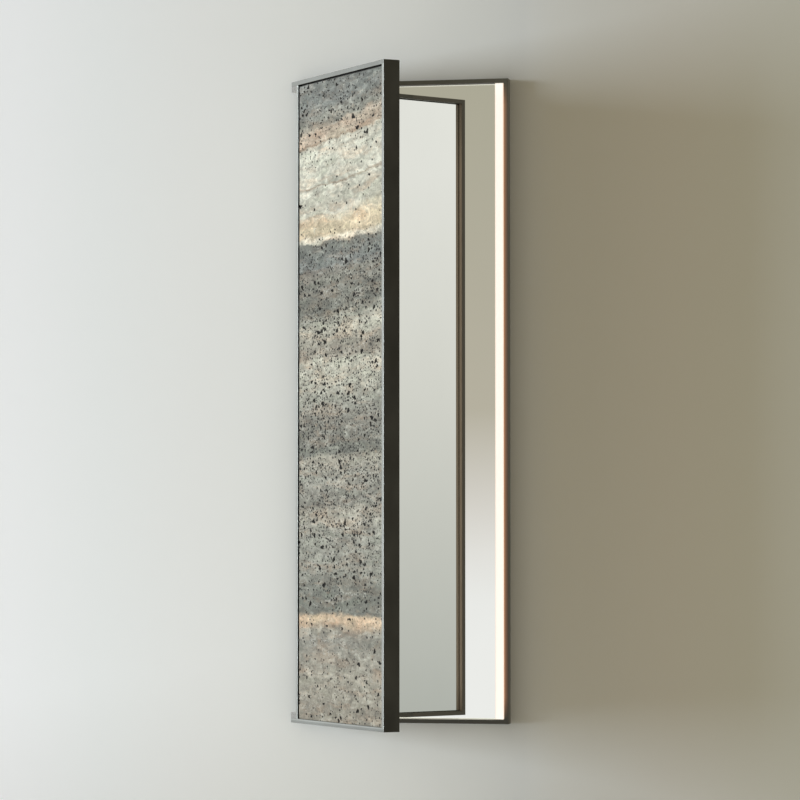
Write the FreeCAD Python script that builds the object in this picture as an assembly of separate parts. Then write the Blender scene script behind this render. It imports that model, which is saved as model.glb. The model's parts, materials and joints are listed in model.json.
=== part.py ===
import FreeCAD, Part
import math
import os

os.makedirs("parts", exist_ok=True)

# Illuminated mirror: a shallow wall unit holds a mirror between two upright light strips, and a
# full-height door with a stone face and a mirror inside turns on two pivots at the left.
# Sizes are in millimetres and degrees. +X is to the right, +Y into the wall and +Z up.
# The wall plane is y = 0, and the screw line of the wall rail is x = 0, z = 0.
# Door pieces are made closed, and then turned about the pivots to the angle of the rest pose.

# Wall unit
unit_width = 500.0
unit_height = 1500.0
screw_line_drop = 150.0
unit_bar_width = 10.0
unit_bar_wall = 1.2
bar_edge_radius = 0.6
unit_flange_reach = 8.0
unit_flange_thickness = 1.5
unit_key_leg = 24.0
key_fit = 0.1

# Wall unit, from front to back
glass_recess = 12.0
glass_thickness = 5.0
glass_edge_gap = 1.0
glass_arris = 0.8
tape_thickness = 1.0
tape_width = 25.0
tape_end_inset = 40.0
tape_place_shares = (-0.7, -0.23, 0.23, 0.7)
panel_thickness = 1.5
panel_edge_gap = 0.5
cavity_depth = 10.5

# Setting blocks under the glass
block_length = 40.0
block_place_share = 0.5

# Panel screws, from behind
panel_screw_radius = 1.5
panel_screw_head_radius = 3.0
panel_screw_head_height = 2.0
panel_screw_pitch = 230.0
panel_screw_end_inset = 60.0
screw_fit = 0.05
screw_tip_inset = 0.3
socket_share = 0.5

# Hanging rail on the unit and wall rail
hanging_rail_length = 400.0
wall_rail_length = 380.0
rail_plate = 2.5
wall_plate = 3.0
wall_plate_height = 25.0
hanging_plate_height = 25.0
rail_web = 3.0
rail_air = 0.6
rail_lip_height = 9.0
rivet_radius = 2.0
rivet_head_radius = 4.0
rivet_head_height = 1.4
rivet_front_height = 0.7
rivet_count = 6
rivet_end_inset = 25.0
wall_screw_radius = 2.75
wall_screw_outer_spacing = 320.0
wall_screw_inner_spacing = 120.0
spacer_radius = 10.0
spacer_x = 180.0
spacer_rise = 100.0

# Light strips
led_width = 20.0
led_proud = 1.0
diffuser_thickness = 2.0
diffuser_edge_radius = 0.8
diffuser_leg = 1.0
diffuser_leg_depth = 4.0
diffuser_leg_air = 0.2
channel_wall = 1.2
cap_thickness = 1.5
led_board_width = 12.0
led_board_thickness = 1.2
chip_length = 3.5
chip_width = 2.8
chip_height = 0.7
chip_pitch = 16.6

# Driver and leads
driver_length = 180.0
driver_height = 40.0
driver_wall = 1.2
driver_rise = 400.0
driver_air = 1.0
driver_ear_length = 12.0
driver_screw_offset = 6.0
driver_corner_radius = 3.0
driver_foot_radius = 2.0
driver_foot_height = 0.5
driver_board_thickness = 1.2
driver_board_gap = 2.0
terminal_length = 9.0
terminal_height = 14.0
transformer_length = 26.0
transformer_height = 22.0
capacitor_radius = 2.2
capacitor_length = 16.0
capacitor_place_shares = (-0.5, -0.28, 0.42)
component_air = 0.8
lead_radius = 1.5
lead_depth = 4.5
lead_inset = 6.0
lead_hole_fit = 0.3
grommet_wall = 1.0
grommet_lip = 1.2
clip_width = 7.0
clip_height = 9.0
clip_cover = 1.2
clip_fit = 0.1
clip_place_shares = (0.3, 0.75)
gland_thread_radius = 3.2
gland_nut_radius = 4.2
gland_nut_height = 4.0
gland_dome_height = 6.0
gland_bore_radius = 2.4
gland_x = 45.0

# Door
door_margin = 25.0
door_gap = 4.0
door_bar_width = 10.0
door_bar_wall = 1.5
door_flange_reach = 8.0
door_flange_thickness = 1.5
door_key_leg = 28.0
stone_recess = 2.5
stone_thickness = 8.0
stone_side_gap = 2.0
stone_top_gap = 4.0
stone_arris = 0.5
core_thickness = 12.0
core_edge_gap = 0.5
door_glass_recess = 12.0
door_glass_thickness = 4.0
door_tape_width = 30.0
door_tape_place_shares = (-0.6, 0.0, 0.6)
rest_open_angle = 50.5

# Pivots
housing_height = 14.0
tab_corner_radius = 6.0
pin_radius = 4.0
pin_clearance = 0.05
pin_hole_gap = 0.3
pin_head_radius = 6.0
pin_head_height = 3.0
pin_top_air = 1.0
bush_radius = 6.0
bush_fit = 0.02
washer_thickness = 1.0
washer_radius = 9.0
washer_gap = 0.1
insert_length = 60.0
bracket_thickness = 4.0
bracket_height = 44.0
bracket_side_inset = 0.5
bracket_boss_inset = 3.5
bracket_screw_spacing = 20.0
nut_bar_thickness = 6.0
fixing_radius = 2.0
fixing_head_radius = 3.8
housing_screw_x = 4.0
housing_screw_y = 13.0
housing_screw_bite = 5.0
stile_plug_height = 24.0
stile_screw_y = 11.0
stile_screw_bite = 16.0

# Catches, hidden behind the walls of the bars, and bumpers
catch_length = 16.0
catch_depth = 4.0
catch_inset = 42.0
bumper_radius = 3.5
bumper_air = 0.3
bumper_x_places = (-120.0, -20.0)

# One overrun for all cuts
over = 1.0

# Worked-out places of the wall unit
unit_depth = glass_recess + glass_thickness + tape_thickness + panel_thickness + cavity_depth
half_width = unit_width / 2
inner_half = half_width - unit_bar_width
top_z = screw_line_drop
bottom_z = top_z - unit_height
mid_z = (top_z + bottom_z) / 2
inner_top = top_z - unit_bar_width
inner_bottom = bottom_z + unit_bar_width
unit_front = -unit_depth
glass_front = unit_front + glass_recess
glass_back = glass_front + glass_thickness
panel_front = glass_back + tape_thickness
panel_back = panel_front + panel_thickness
flange_back = panel_back + unit_flange_thickness
led_inner = inner_half - led_width
led_centre = inner_half - led_width / 2
glass_half = led_inner - glass_edge_gap
lead_x = led_inner + lead_inset
lead_y = panel_back + lead_depth
lead_bend_radius = lead_depth
driver_z = bottom_z + driver_rise
rail_lip = (cavity_depth - rail_plate - 3 * rail_air) / 2

# Worked-out places of the closed door
panel_width = unit_width - 2 * door_margin
core_front_depth = stone_recess + stone_thickness
core_back_depth = core_front_depth + core_thickness
door_glass_back_depth = core_back_depth + door_flange_thickness
door_glass_front_depth = door_glass_back_depth + door_glass_thickness
door_thickness = door_glass_front_depth + door_glass_recess
door_back = unit_front - door_gap
door_front = door_back - door_thickness
door_left = -panel_width / 2
door_right = panel_width / 2
door_inner_left = door_left + door_bar_width
door_inner_right = door_right - door_bar_width
door_inner_top = top_z - door_bar_width
door_inner_bottom = bottom_z + door_bar_width
pivot_x = -half_width + door_margin / 2
pivot_y = door_back - door_thickness / 2
tab_bottom = top_z - door_bar_width - housing_height
washer_top = tab_bottom - washer_gap
arm_top = washer_top - washer_thickness
arm_bottom = arm_top - bracket_thickness
boss_radius = door_margin / 2 - bracket_boss_inset

X = FreeCAD.Vector(1, 0, 0)
Y = FreeCAD.Vector(0, 1, 0)
Z = FreeCAD.Vector(0, 0, 1)


def point(x, y, z):
    return FreeCAD.Vector(x, y, z)


def block(x_low, x_high, y_low, y_high, z_low, z_high):
    corner = point(x_low, y_low, z_low)
    return Part.makeBox(x_high - x_low, y_high - y_low, z_high - z_low, corner)


def rod(radius, start, direction, length):
    return Part.makeCylinder(radius, length, start, direction)


def prism_up(outline, z_low, z_high):
    """A prism on an outline of x and y, from one height to another."""
    corners = [point(x, y, z_low) for x, y in outline]
    face = Part.Face(Part.makePolygon(corners + corners[:1]))
    return face.extrude(Z * (z_high - z_low))


def prism_back(outline, y_low, y_high):
    """A prism on an outline of x and z, from one depth to another."""
    corners = [point(x, y_low, z) for x, z in outline]
    face = Part.Face(Part.makePolygon(corners + corners[:1]))
    return face.extrude(Y * (y_high - y_low))


def rounded_face(x_low, x_high, y_low, y_high, radius, z):
    """A rectangle of x and y with all four corners rounded."""
    slant = radius * math.sqrt(2) / 2
    edges = []
    corners = [
        (x_high - radius, y_low + radius, 1, -1),
        (x_high - radius, y_high - radius, 1, 1),
        (x_low + radius, y_high - radius, -1, 1),
        (x_low + radius, y_low + radius, -1, -1),
    ]
    ends = []
    for x, y, right, up in corners:
        side_x = point(x + right * radius, y, z)
        side_y = point(x, y + up * radius, z)
        middle = point(x + right * slant, y + up * slant, z)
        first, last = (side_y, side_x) if right != up else (side_x, side_y)
        ends.append((first, middle, last))
    for place, (first, middle, last) in enumerate(ends):
        edges.append(Part.Arc(first, middle, last).toShape())
        following = ends[(place + 1) % len(ends)][0]
        edges.append(Part.LineSegment(last, following).toShape())
    return Part.Face(Part.Wire(edges))


def hollow_bar(low, high, width, depth, wall, flange, mitres):
    """An upright hollow bar with its outer face at x = 0 and its front at y = 0.

    flange is (reach, front, back) of the fin on its inner side, and mitres says which ends are cut."""
    reach, flange_low, flange_high = flange
    mitre_low, mitre_high = mitres
    tube = rounded_face(0, width, 0, depth, bar_edge_radius, low).extrude(Z * (high - low))
    fin = block(width - wall / 2, width + reach, flange_low, flange_high, low, high)
    hollow = block(wall, width - wall, wall, depth - wall, low - over, high + over)
    solid = tube.fuse(fin).removeSplitter().cut(hollow)
    far = width + reach
    outline = [
        (0, low),
        (far, low + (far if mitre_low else 0)),
        (far, high - (far if mitre_high else 0)),
        (0, high),
    ]
    return solid.common(prism_back(outline, -over, depth + over))


def turned(shape, angle, x, y, z):
    """A shape turned about +Y and then moved."""
    copy = shape.copy()
    copy.rotate(point(0, 0, 0), Y, angle)
    copy.translate(point(x, y, z))
    return copy


def pointing(shape, place, direction):
    """A shape that was made along +Z, moved to a place and pointed along a direction."""
    copy = shape.copy()
    copy.Placement = FreeCAD.Placement(place, FreeCAD.Rotation(Z, direction))
    return copy


def flipped(shape):
    """The shape's mirror image at the other end of the object."""
    return shape.mirror(point(0, 0, mid_z), Z)


def pair(shape):
    """A shape at the top with its mirror image at the bottom."""
    return [shape, flipped(shape)]


def side_pair(shape):
    """A shape on one side with its mirror image on the other side."""
    return [shape.mirror(point(0, 0, 0), X), shape]


def hexagon(radius, z_low, z_high):
    angles = [math.radians(60 * corner) for corner in range(6)]
    outline = [(radius * math.cos(angle), radius * math.sin(angle)) for angle in angles]
    return prism_up(outline, z_low, z_high)


def countersunk(radius, head_radius, length, fit=0):
    """A flat-headed screw along +Z with its head's face at z = 0, or with a fit the hole for it."""
    head = Part.makeCone(head_radius + fit, radius + fit, head_radius - radius)
    screw = head.fuse(Part.makeCylinder(radius + fit, length + fit))
    if fit:
        return screw.removeSplitter()
    socket = hexagon(radius * socket_share, -over, (head_radius - radius))
    return screw.removeSplitter().cut(socket)


def pan_screw(radius, head_radius, head_height, length):
    """A pan-headed screw along +Z whose head lies below z = 0."""
    head = Part.makeCylinder(head_radius, head_height, point(0, 0, -head_height))
    rim = [edge for edge in head.Edges if abs(edge.BoundBox.ZMax + head_height) < head_height * socket_share]
    head = head.makeFillet(head_height * socket_share, rim)
    socket = hexagon(radius * socket_share, -head_height - over, -head_height * socket_share)
    return head.fuse(Part.makeCylinder(radius, length)).removeSplitter().cut(socket)


def pin_bore(radius, z_low, z_high):
    """A cylinder on the pivots' axis, between two heights."""
    return rod(radius, point(pivot_x, pivot_y, z_low), Z, z_high - z_low)


def even_places(low, high, pitch):
    """Places with about a pitch between them, from one end to the other."""
    count = max(1, round((high - low) / pitch))
    return [low + (high - low) * k / count for k in range(count + 1)]


def save(name, *solids):
    """Writes one node, of one solid or of a group of separate solids."""
    shape = solids[0] if len(solids) == 1 else Part.makeCompound(list(solids))
    shape.exportStep("parts/" + name + ".step")


def save_door(name, *solids):
    """Writes one node of the door, turned to its rest angle."""
    open_solids = []
    for solid in solids:
        copy = solid.copy()
        copy.rotate(point(pivot_x, pivot_y, 0), Z, -rest_open_angle)
        open_solids.append(copy)
    save(name, *open_solids)


# Wall unit: frame
def unit_bar(length):
    half = length / 2
    flange = (unit_flange_reach, unit_depth + panel_back, unit_depth + flange_back)
    return hollow_bar(-half, half, unit_bar_width, unit_depth, unit_bar_wall, flange, (True, True))


def panel_screw_places():
    """Each screw's x and z, on the flanges of the four bars."""
    inset = unit_flange_reach / 2
    side_x = inner_half - inset
    low = inner_bottom + panel_screw_end_inset
    uprights = even_places(low, inner_top - panel_screw_end_inset, panel_screw_pitch)
    half = inner_half - panel_screw_end_inset
    across = even_places(-half, half, panel_screw_pitch)
    places = [(side * side_x, z) for side in (-1, 1) for z in uprights]
    places += [(x, z) for x in across for z in (inner_bottom + inset, inner_top - inset)]
    return places


def panel_screw_holes(y_low, y_high):
    radius = panel_screw_radius + screw_fit
    return [rod(radius, point(x, y_low, z), Y, y_high - y_low) for x, z in panel_screw_places()]


def catch_block(wall, y_low):
    """A block in the hollow of the top bars, near the door's free edge."""
    x = door_right - catch_inset
    inset = wall + key_fit
    z_low = top_z - unit_bar_width + inset
    return block(x - catch_length / 2, x + catch_length / 2, y_low, y_low + catch_depth, z_low, top_z - inset)


def bracket_screw_places():
    """The z of each screw of the top bracket."""
    middle = arm_top - bracket_height / 2 - bracket_thickness / 2
    return (middle - bracket_screw_spacing / 2, middle + bracket_screw_spacing / 2)


def bracket_screws(fit=0):
    """The screws of the top bracket, or the holes for them."""
    length = bracket_thickness + unit_bar_wall + nut_bar_thickness - screw_tip_inset
    screw = countersunk(fixing_radius, fixing_head_radius, length, fit)
    x = -half_width + unit_bar_width / 2
    return [pointing(screw, point(x, unit_front - bracket_thickness, z), Y) for z in bracket_screw_places()]


def make_unit_frame():
    upright = unit_bar(unit_height)
    across = unit_bar(unit_width)
    left = turned(upright, 0, -half_width, unit_front, mid_z)
    right = turned(upright, 180, half_width, unit_front, mid_z)
    top = turned(across, 90, 0, unit_front, top_z)
    bottom = turned(across, -90, 0, unit_front, bottom_z)
    holes = panel_screw_holes(panel_back - over, flange_back + over)
    bracket_holes = []
    for hole in bracket_screws(screw_fit):
        bracket_holes += pair(hole)
    save("unit_left_bar", left.cut(holes + bracket_holes))
    save("unit_right_bar", right.cut(holes))
    save("unit_top_bar", top.cut(holes))
    save("unit_bottom_bar", bottom.cut(holes))


def corner_key(width, wall, leg, y_low, y_high, corner_x, corner_z, right, up):
    """An L-shaped key in the hollow ends of two mitred bars, at the frame's corner."""
    offset = wall + key_fit
    thick = width - 2 * offset
    across = [
        (offset, offset),
        (offset + leg, offset),
        (offset + leg, offset + thick),
        (offset + thick, offset + thick),
        (offset + thick, offset + leg),
        (offset, offset + leg),
    ]
    outline = [(corner_x + right * x, corner_z + up * z) for x, z in across]
    return prism_back(outline, y_low + offset, y_high - offset)


def make_unit_keys():
    keys = []
    for side in (-1, 1):
        key = corner_key(
            unit_bar_width, unit_bar_wall, unit_key_leg, unit_front, 0, side * half_width, top_z, -side, -1
        )
        keys += pair(key)
    save("unit_corner_keys", *keys)


# Wall unit: glass and back
def arrised_plate(x_low, x_high, y_low, y_high, z_low, z_high, arris):
    """A plate whose front edges are ground off at 45 degrees, all round its front face."""
    plate = block(x_low, x_high, y_low, y_high, z_low, z_high)
    rim = [edge for edge in plate.Edges if abs(edge.BoundBox.YMax - y_low) < arris]
    return plate.makeChamfer(arris, rim)


def make_main_mirror():
    low = inner_bottom + glass_edge_gap
    high = inner_top - glass_edge_gap
    glass = arrised_plate(-glass_half, glass_half, glass_front, glass_back, low, high, glass_arris)
    save("main_mirror", glass)
    tapes = []
    for share in tape_place_shares:
        x = share * glass_half
        half = tape_width / 2
        tapes.append(
            block(x - half, x + half, glass_back, panel_front, low + tape_end_inset, high - tape_end_inset)
        )
    rail_room = block(
        -hanging_rail_length / 2 - over,
        hanging_rail_length / 2 + over,
        glass_back,
        panel_front,
        rivet_z() - rivet_head_radius - over,
        rivet_z() + rivet_head_radius + over,
    )
    pieces = []
    for tape in tapes:
        pieces += tape.cut(rail_room).Solids
    save("main_mirror_tapes", *pieces)
    blocks = []
    for side in (-1, 1):
        x = side * block_place_share * glass_half
        half = block_length / 2
        blocks.append(block(x - half, x + half, glass_front, glass_back, inner_bottom, low))
    save("main_glass_blocks", *blocks)


def make_back_panel():
    half = inner_half - panel_edge_gap
    low = inner_bottom + panel_edge_gap
    high = inner_top - panel_edge_gap
    panel = block(-half, half, panel_front, panel_back, low, high)
    holes = panel_screw_holes(panel_front - over, panel_back + over)
    thick = panel_thickness + 2 * over
    hole_radius = lead_radius + lead_hole_fit + grommet_wall
    for side in (-1, 1):
        holes.append(rod(hole_radius, point(side * lead_x, panel_front - over, driver_z), Y, thick))
    for x in rivet_places():
        holes.append(rod(rivet_radius + screw_fit, point(x, panel_front - over, rivet_z()), Y, thick))
    for x, z in driver_screw_places():
        holes.append(rod(panel_screw_radius + screw_fit, point(x, panel_front - over, z), Y, thick))
    save("back_panel", panel.cut(holes))
    length = unit_flange_thickness + panel_thickness - screw_tip_inset
    screw = pan_screw(panel_screw_radius, panel_screw_head_radius, panel_screw_head_height, length)
    screws = [pointing(screw, point(x, flange_back, z), -Y) for x, z in panel_screw_places()]
    save("back_panel_screws", *screws)


# Wall unit: hanging
def web_top_of_wall_rail():
    return wall_plate_height / 2 + rail_web


def seat_z():
    """Where the hanging rail sits on the wall rail's lip."""
    return web_top_of_wall_rail() + rail_lip_height


def rivet_z():
    return seat_z() + rail_web + hanging_plate_height / 2


def rivet_places():
    half = hanging_rail_length / 2 - rivet_end_inset
    return [-half + 2 * half * k / (rivet_count - 1) for k in range(rivet_count)]


def make_wall_rail():
    half = wall_rail_length / 2
    lip_front = -(rail_air + rail_lip + rail_air + rail_lip)
    plate_half = wall_plate_height / 2
    plate = block(-half, half, -wall_plate, 0, -plate_half, plate_half)
    web = block(-half, half, lip_front, 0, plate_half, plate_half + rail_web)
    lip = block(-half, half, lip_front, lip_front + rail_lip, plate_half, seat_z())
    holes = []
    for spacing in (wall_screw_outer_spacing, wall_screw_inner_spacing):
        for side in (-1, 1):
            start = point(side * spacing / 2, -wall_plate - over, 0)
            holes.append(rod(wall_screw_radius, start, Y, wall_plate + 2 * over))
    save("wall_rail", plate.fuse([web, lip]).removeSplitter().cut(holes))


def make_hanging_rail():
    half = hanging_rail_length / 2
    low = seat_z()
    high = low + rail_web + hanging_plate_height
    plate = block(-half, half, panel_back, panel_back + rail_plate, low, high)
    web = block(-half, half, panel_back, -rail_air, low, low + rail_web)
    lip_low = web_top_of_wall_rail() + rail_air
    lip = block(-half, half, -rail_air - rail_lip, -rail_air, lip_low, low + rail_web)
    rail = plate.fuse([web, lip]).removeSplitter()
    holes = []
    rivets = []
    for x in rivet_places():
        start = point(x, panel_front, rivet_z())
        holes.append(rod(rivet_radius + screw_fit, start, Y, panel_thickness + rail_plate + over))
        shank = rod(rivet_radius, start, Y, panel_thickness + rail_plate)
        front = rod(rivet_head_radius, start, -Y, rivet_front_height)
        back = rod(rivet_head_radius, point(x, panel_back + rail_plate, rivet_z()), Y, rivet_head_height)
        rim = [edge for edge in back.Edges if edge.BoundBox.YMin > panel_back + rail_plate + screw_fit]
        back = back.makeFillet(rivet_head_height / 2, rim)
        rivets.append(shank.fuse([front, back]).removeSplitter())
    save("hanging_rail", rail.cut(holes))
    save("hanging_rail_rivets", *rivets)


def make_wall_spacers():
    start = point(spacer_x, panel_back, bottom_z + spacer_rise)
    spacer = rod(spacer_radius, start, Y, cavity_depth)
    save("wall_spacers", *side_pair(spacer))


# Wall unit: light strips
def led_low():
    return inner_bottom + cap_thickness


def led_high():
    return inner_top - cap_thickness


def make_led_channel(name, side):
    front = unit_front - led_proud + diffuser_thickness
    low = led_low()
    high = led_high()
    outer = block(led_inner, inner_half, front, panel_front, low, high)
    inner = block(
        led_inner + channel_wall,
        inner_half - channel_wall,
        front - over,
        panel_front - channel_wall,
        low - over,
        high + over,
    )
    start = point(lead_x, panel_front - channel_wall - over, driver_z)
    lead_hole = rod(lead_radius + lead_hole_fit, start, Y, channel_wall + 2 * over)
    channel = outer.cut([inner, lead_hole])
    save(name, channel if side > 0 else channel.mirror(point(0, 0, 0), X))


def make_led_strip(name, side):
    back = panel_front - channel_wall
    front = back - led_board_thickness
    half = led_board_width / 2
    board = block(led_centre - half, led_centre + half, front, back, led_low(), led_high())
    chips = []
    for z in even_places(led_low() + chip_pitch / 2, led_high() - chip_pitch / 2, chip_pitch):
        x = led_centre
        chips.append(
            block(
                x - chip_width / 2,
                x + chip_width / 2,
                front - chip_height,
                front,
                z - chip_length / 2,
                z + chip_length / 2,
            )
        )
    strip = board.fuse(chips).removeSplitter()
    save(name, strip if side > 0 else strip.mirror(point(0, 0, 0), X))


def make_led_diffuser(name, side):
    front = unit_front - led_proud
    low = led_low()
    high = led_high()
    back = front + 2 * diffuser_thickness
    cover = rounded_face(led_inner, inner_half, front, back, diffuser_edge_radius, low)
    keep = block(led_inner, inner_half, front, front + diffuser_thickness, low, high)
    plate = cover.extrude(Z * (high - low)).common(keep)
    legs = []
    leg_back = front + diffuser_thickness + diffuser_leg_depth
    inside_low = led_inner + channel_wall + diffuser_leg_air
    inside_high = inner_half - channel_wall - diffuser_leg_air
    for x in (inside_low, inside_high - diffuser_leg):
        legs.append(block(x, x + diffuser_leg, front + diffuser_thickness / 2, leg_back, low, high))
    diffuser = plate.fuse(legs).removeSplitter()
    save(name, diffuser if side > 0 else diffuser.mirror(point(0, 0, 0), X))


def make_led_caps():
    front = unit_front - led_proud + diffuser_edge_radius
    cap = block(led_inner, inner_half, front, panel_front, led_high(), inner_top)
    caps = []
    for piece in side_pair(cap):
        caps += pair(piece)
    save("led_end_caps", *caps)


# Wall unit: driver and leads
def driver_screw_places():
    x = driver_length / 2 + driver_ear_length / 2
    return [(side * x, driver_z + up * driver_screw_offset) for side in (-1, 1) for up in (-1, 1)]


def driver_top():
    """The depth of the driver lid's outer face."""
    return -driver_air


def make_driver_case():
    half = driver_length / 2
    tall = driver_height / 2
    wall_back = driver_top() - driver_wall
    outer = block(-half, half, panel_back, wall_back, driver_z - tall, driver_z + tall)
    corners = [edge for edge in outer.Edges if edge.BoundBox.YLength > driver_corner_radius]
    outer = outer.makeFillet(driver_corner_radius, corners)
    inner = block(
        -half + driver_wall,
        half - driver_wall,
        panel_back + driver_wall,
        wall_back + over,
        driver_z - tall + driver_wall,
        driver_z + tall - driver_wall,
    )
    ear_half = half + driver_ear_length
    floor = panel_back + driver_wall
    ears = block(-ear_half, ear_half, panel_back, floor, driver_z - tall / 2, driver_z + tall / 2)
    feet = [
        rod(driver_foot_radius, point(x, floor, z), Y, driver_foot_height) for x, z in driver_foot_places()
    ]
    case = outer.cut(inner).fuse([ears] + feet).removeSplitter()
    holes = [
        rod(panel_screw_radius + screw_fit, point(x, panel_back - over, z), Y, driver_wall + 2 * over)
        for x, z in driver_screw_places()
    ]
    start = point(-half - over, lead_y, driver_z)
    lead_hole = rod(lead_radius + lead_hole_fit, start, X, driver_length + 2 * over)
    gland_hole = rod(gland_thread_radius, point(gland_x, lead_y, driver_z), Z, tall + over)
    save("driver_case", case.cut(holes + [lead_hole, gland_hole]))


def driver_foot_places():
    x = driver_length / 2 - 3 * driver_foot_radius - driver_wall
    z = driver_height / 2 - 2 * driver_foot_radius - driver_wall
    return [(side * x, driver_z + up * z) for side in (-1, 1) for up in (-1, 1)]


def make_driver_lid():
    half = driver_length / 2
    tall = driver_height / 2
    lid = block(-half, half, driver_top() - driver_wall, driver_top(), driver_z - tall, driver_z + tall)
    corners = [edge for edge in lid.Edges if edge.BoundBox.YLength > driver_wall / 2]
    lid = lid.makeFillet(driver_corner_radius, corners)
    rib_half = half - driver_wall - diffuser_leg_air
    rib_tall = tall - driver_wall - diffuser_leg_air
    rib_back = driver_top() - driver_wall
    rib_front = rib_back - driver_wall
    rib = block(-rib_half, rib_half, rib_front, rib_back, driver_z - rib_tall, driver_z + rib_tall)
    hollow = block(
        -rib_half + driver_wall,
        rib_half - driver_wall,
        rib_front - over,
        rib_back,
        driver_z - rib_tall + driver_wall,
        driver_z + rib_tall - driver_wall,
    )
    corners = [edge for edge in rib.Edges if edge.BoundBox.YLength > driver_wall / 2]
    rib = rib.makeFillet(driver_corner_radius - driver_wall, corners).cut(hollow)
    save("driver_lid", lid.fuse(rib).removeSplitter())


def make_driver_board():
    back = panel_back + driver_wall + driver_foot_height
    face = back + driver_board_thickness
    half = driver_length / 2 - driver_wall - driver_board_gap
    tall = driver_height / 2 - driver_wall - driver_board_gap
    board = block(-half, half, back, face, driver_z - tall, driver_z + tall)
    part_top = driver_top() - 2 * driver_wall - component_air
    parts = []
    for side in (-1, 1):
        outer = side * (half - terminal_length)
        inner = side * (half - 2 * terminal_length)
        low = min(outer, inner)
        high = max(outer, inner)
        reach = terminal_height / 2
        parts.append(block(low, high, face, part_top, driver_z - reach, driver_z + reach))
    parts.append(
        block(
            -transformer_length / 2,
            transformer_length / 2,
            face,
            part_top,
            driver_z - transformer_height / 2,
            driver_z + transformer_height / 2,
        )
    )
    for share in capacitor_place_shares:
        start = point(share * half, face + capacitor_radius, driver_z - capacitor_length / 2)
        parts.append(rod(capacitor_radius, start, Z, capacitor_length))
        foot = block(
            share * half - capacitor_radius / 2,
            share * half + capacitor_radius / 2,
            face,
            face + capacitor_radius,
            driver_z - capacitor_length / 2,
            driver_z + capacitor_length / 2,
        )
        parts.append(foot)
    save("driver_board", board.fuse(parts).removeSplitter())
    length = driver_wall + panel_thickness - screw_tip_inset
    screw = pan_screw(panel_screw_radius, panel_screw_head_radius, panel_screw_head_height, length)
    screws = [pointing(screw, point(x, panel_back + driver_wall, z), -Y) for x, z in driver_screw_places()]
    save("driver_screws", *screws)


def make_inlet_gland():
    """The driver's inlet for the supply cable: a nut with a domed cap, and a thread in the wall."""
    tall = driver_height / 2
    nut = hexagon(gland_nut_radius, 0, gland_nut_height)
    cap_radius = gland_nut_radius * math.cos(math.radians(30))
    dome = Part.makeCylinder(cap_radius, gland_dome_height, point(0, 0, gland_nut_height))
    rim = [edge for edge in dome.Edges if edge.BoundBox.ZMin > gland_nut_height + gland_dome_height / 2]
    dome = dome.makeFillet(gland_dome_height / 4, [edge for edge in rim if edge.BoundBox.ZLength < bush_fit])
    thread = Part.makeCylinder(gland_thread_radius - screw_fit, driver_wall, point(0, 0, -driver_wall))
    length = gland_nut_height + gland_dome_height + driver_wall + 2 * over
    bore = Part.makeCylinder(gland_bore_radius, length, point(0, 0, -driver_wall - over))
    gland = nut.fuse([dome, thread]).removeSplitter().cut(bore)
    save("inlet_gland", pointing(gland, point(gland_x, lead_y, driver_z + tall), Z))


def lead(side):
    """A lead from the driver's terminal, along the panel, and through it into the light strip."""
    inside = driver_length / 2 - driver_wall - driver_board_gap - terminal_length
    start = point(inside, lead_y, driver_z)
    bend_start = point(lead_x - lead_bend_radius, lead_y, driver_z)
    slant = lead_bend_radius * math.sqrt(2) / 2
    middle = point(lead_x - lead_bend_radius + slant, lead_y - lead_bend_radius + slant, driver_z)
    bend_end = point(lead_x, lead_y - lead_bend_radius, driver_z)
    end = point(lead_x, panel_front - channel_wall, driver_z)
    edges = [
        Part.LineSegment(start, bend_start).toShape(),
        Part.Arc(bend_start, middle, bend_end).toShape(),
        Part.LineSegment(bend_end, end).toShape(),
    ]
    section = Part.Wire([Part.Circle(start, X, lead_radius).toShape()])
    tube = Part.Wire(edges).makePipeShell([section], True, False)
    return tube if side > 0 else tube.mirror(point(0, 0, 0), X)


def make_leads():
    save("led_lead_left", lead(-1))
    save("led_lead_right", lead(1))
    bore_radius = lead_radius + lead_hole_fit
    start = point(lead_x, panel_front, driver_z)
    body = rod(bore_radius + grommet_wall - screw_fit, start, Y, panel_thickness)
    lip = rod(bore_radius + grommet_wall + grommet_lip, point(lead_x, panel_back, driver_z), Y, grommet_lip)
    length = panel_thickness + grommet_lip + 2 * over
    bore = rod(bore_radius, point(lead_x, panel_front - over, driver_z), Y, length)
    save("lead_grommets", *side_pair(body.fuse(lip).removeSplitter().cut(bore)))
    clips = []
    run_start = driver_length / 2 + driver_ear_length
    run = lead_x - lead_bend_radius - run_start
    for share in clip_place_shares:
        x = run_start + share * run
        top = lead_y + lead_radius + clip_cover
        half = clip_width / 2
        tall = clip_height / 2
        saddle = block(x - half, x + half, panel_back, top, driver_z - tall, driver_z + tall)
        channel = rod(lead_radius + clip_fit, point(x - clip_width, lead_y, driver_z), X, 2 * clip_width)
        clips += side_pair(saddle.cut(channel))
    save("lead_clips", *clips)


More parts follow.
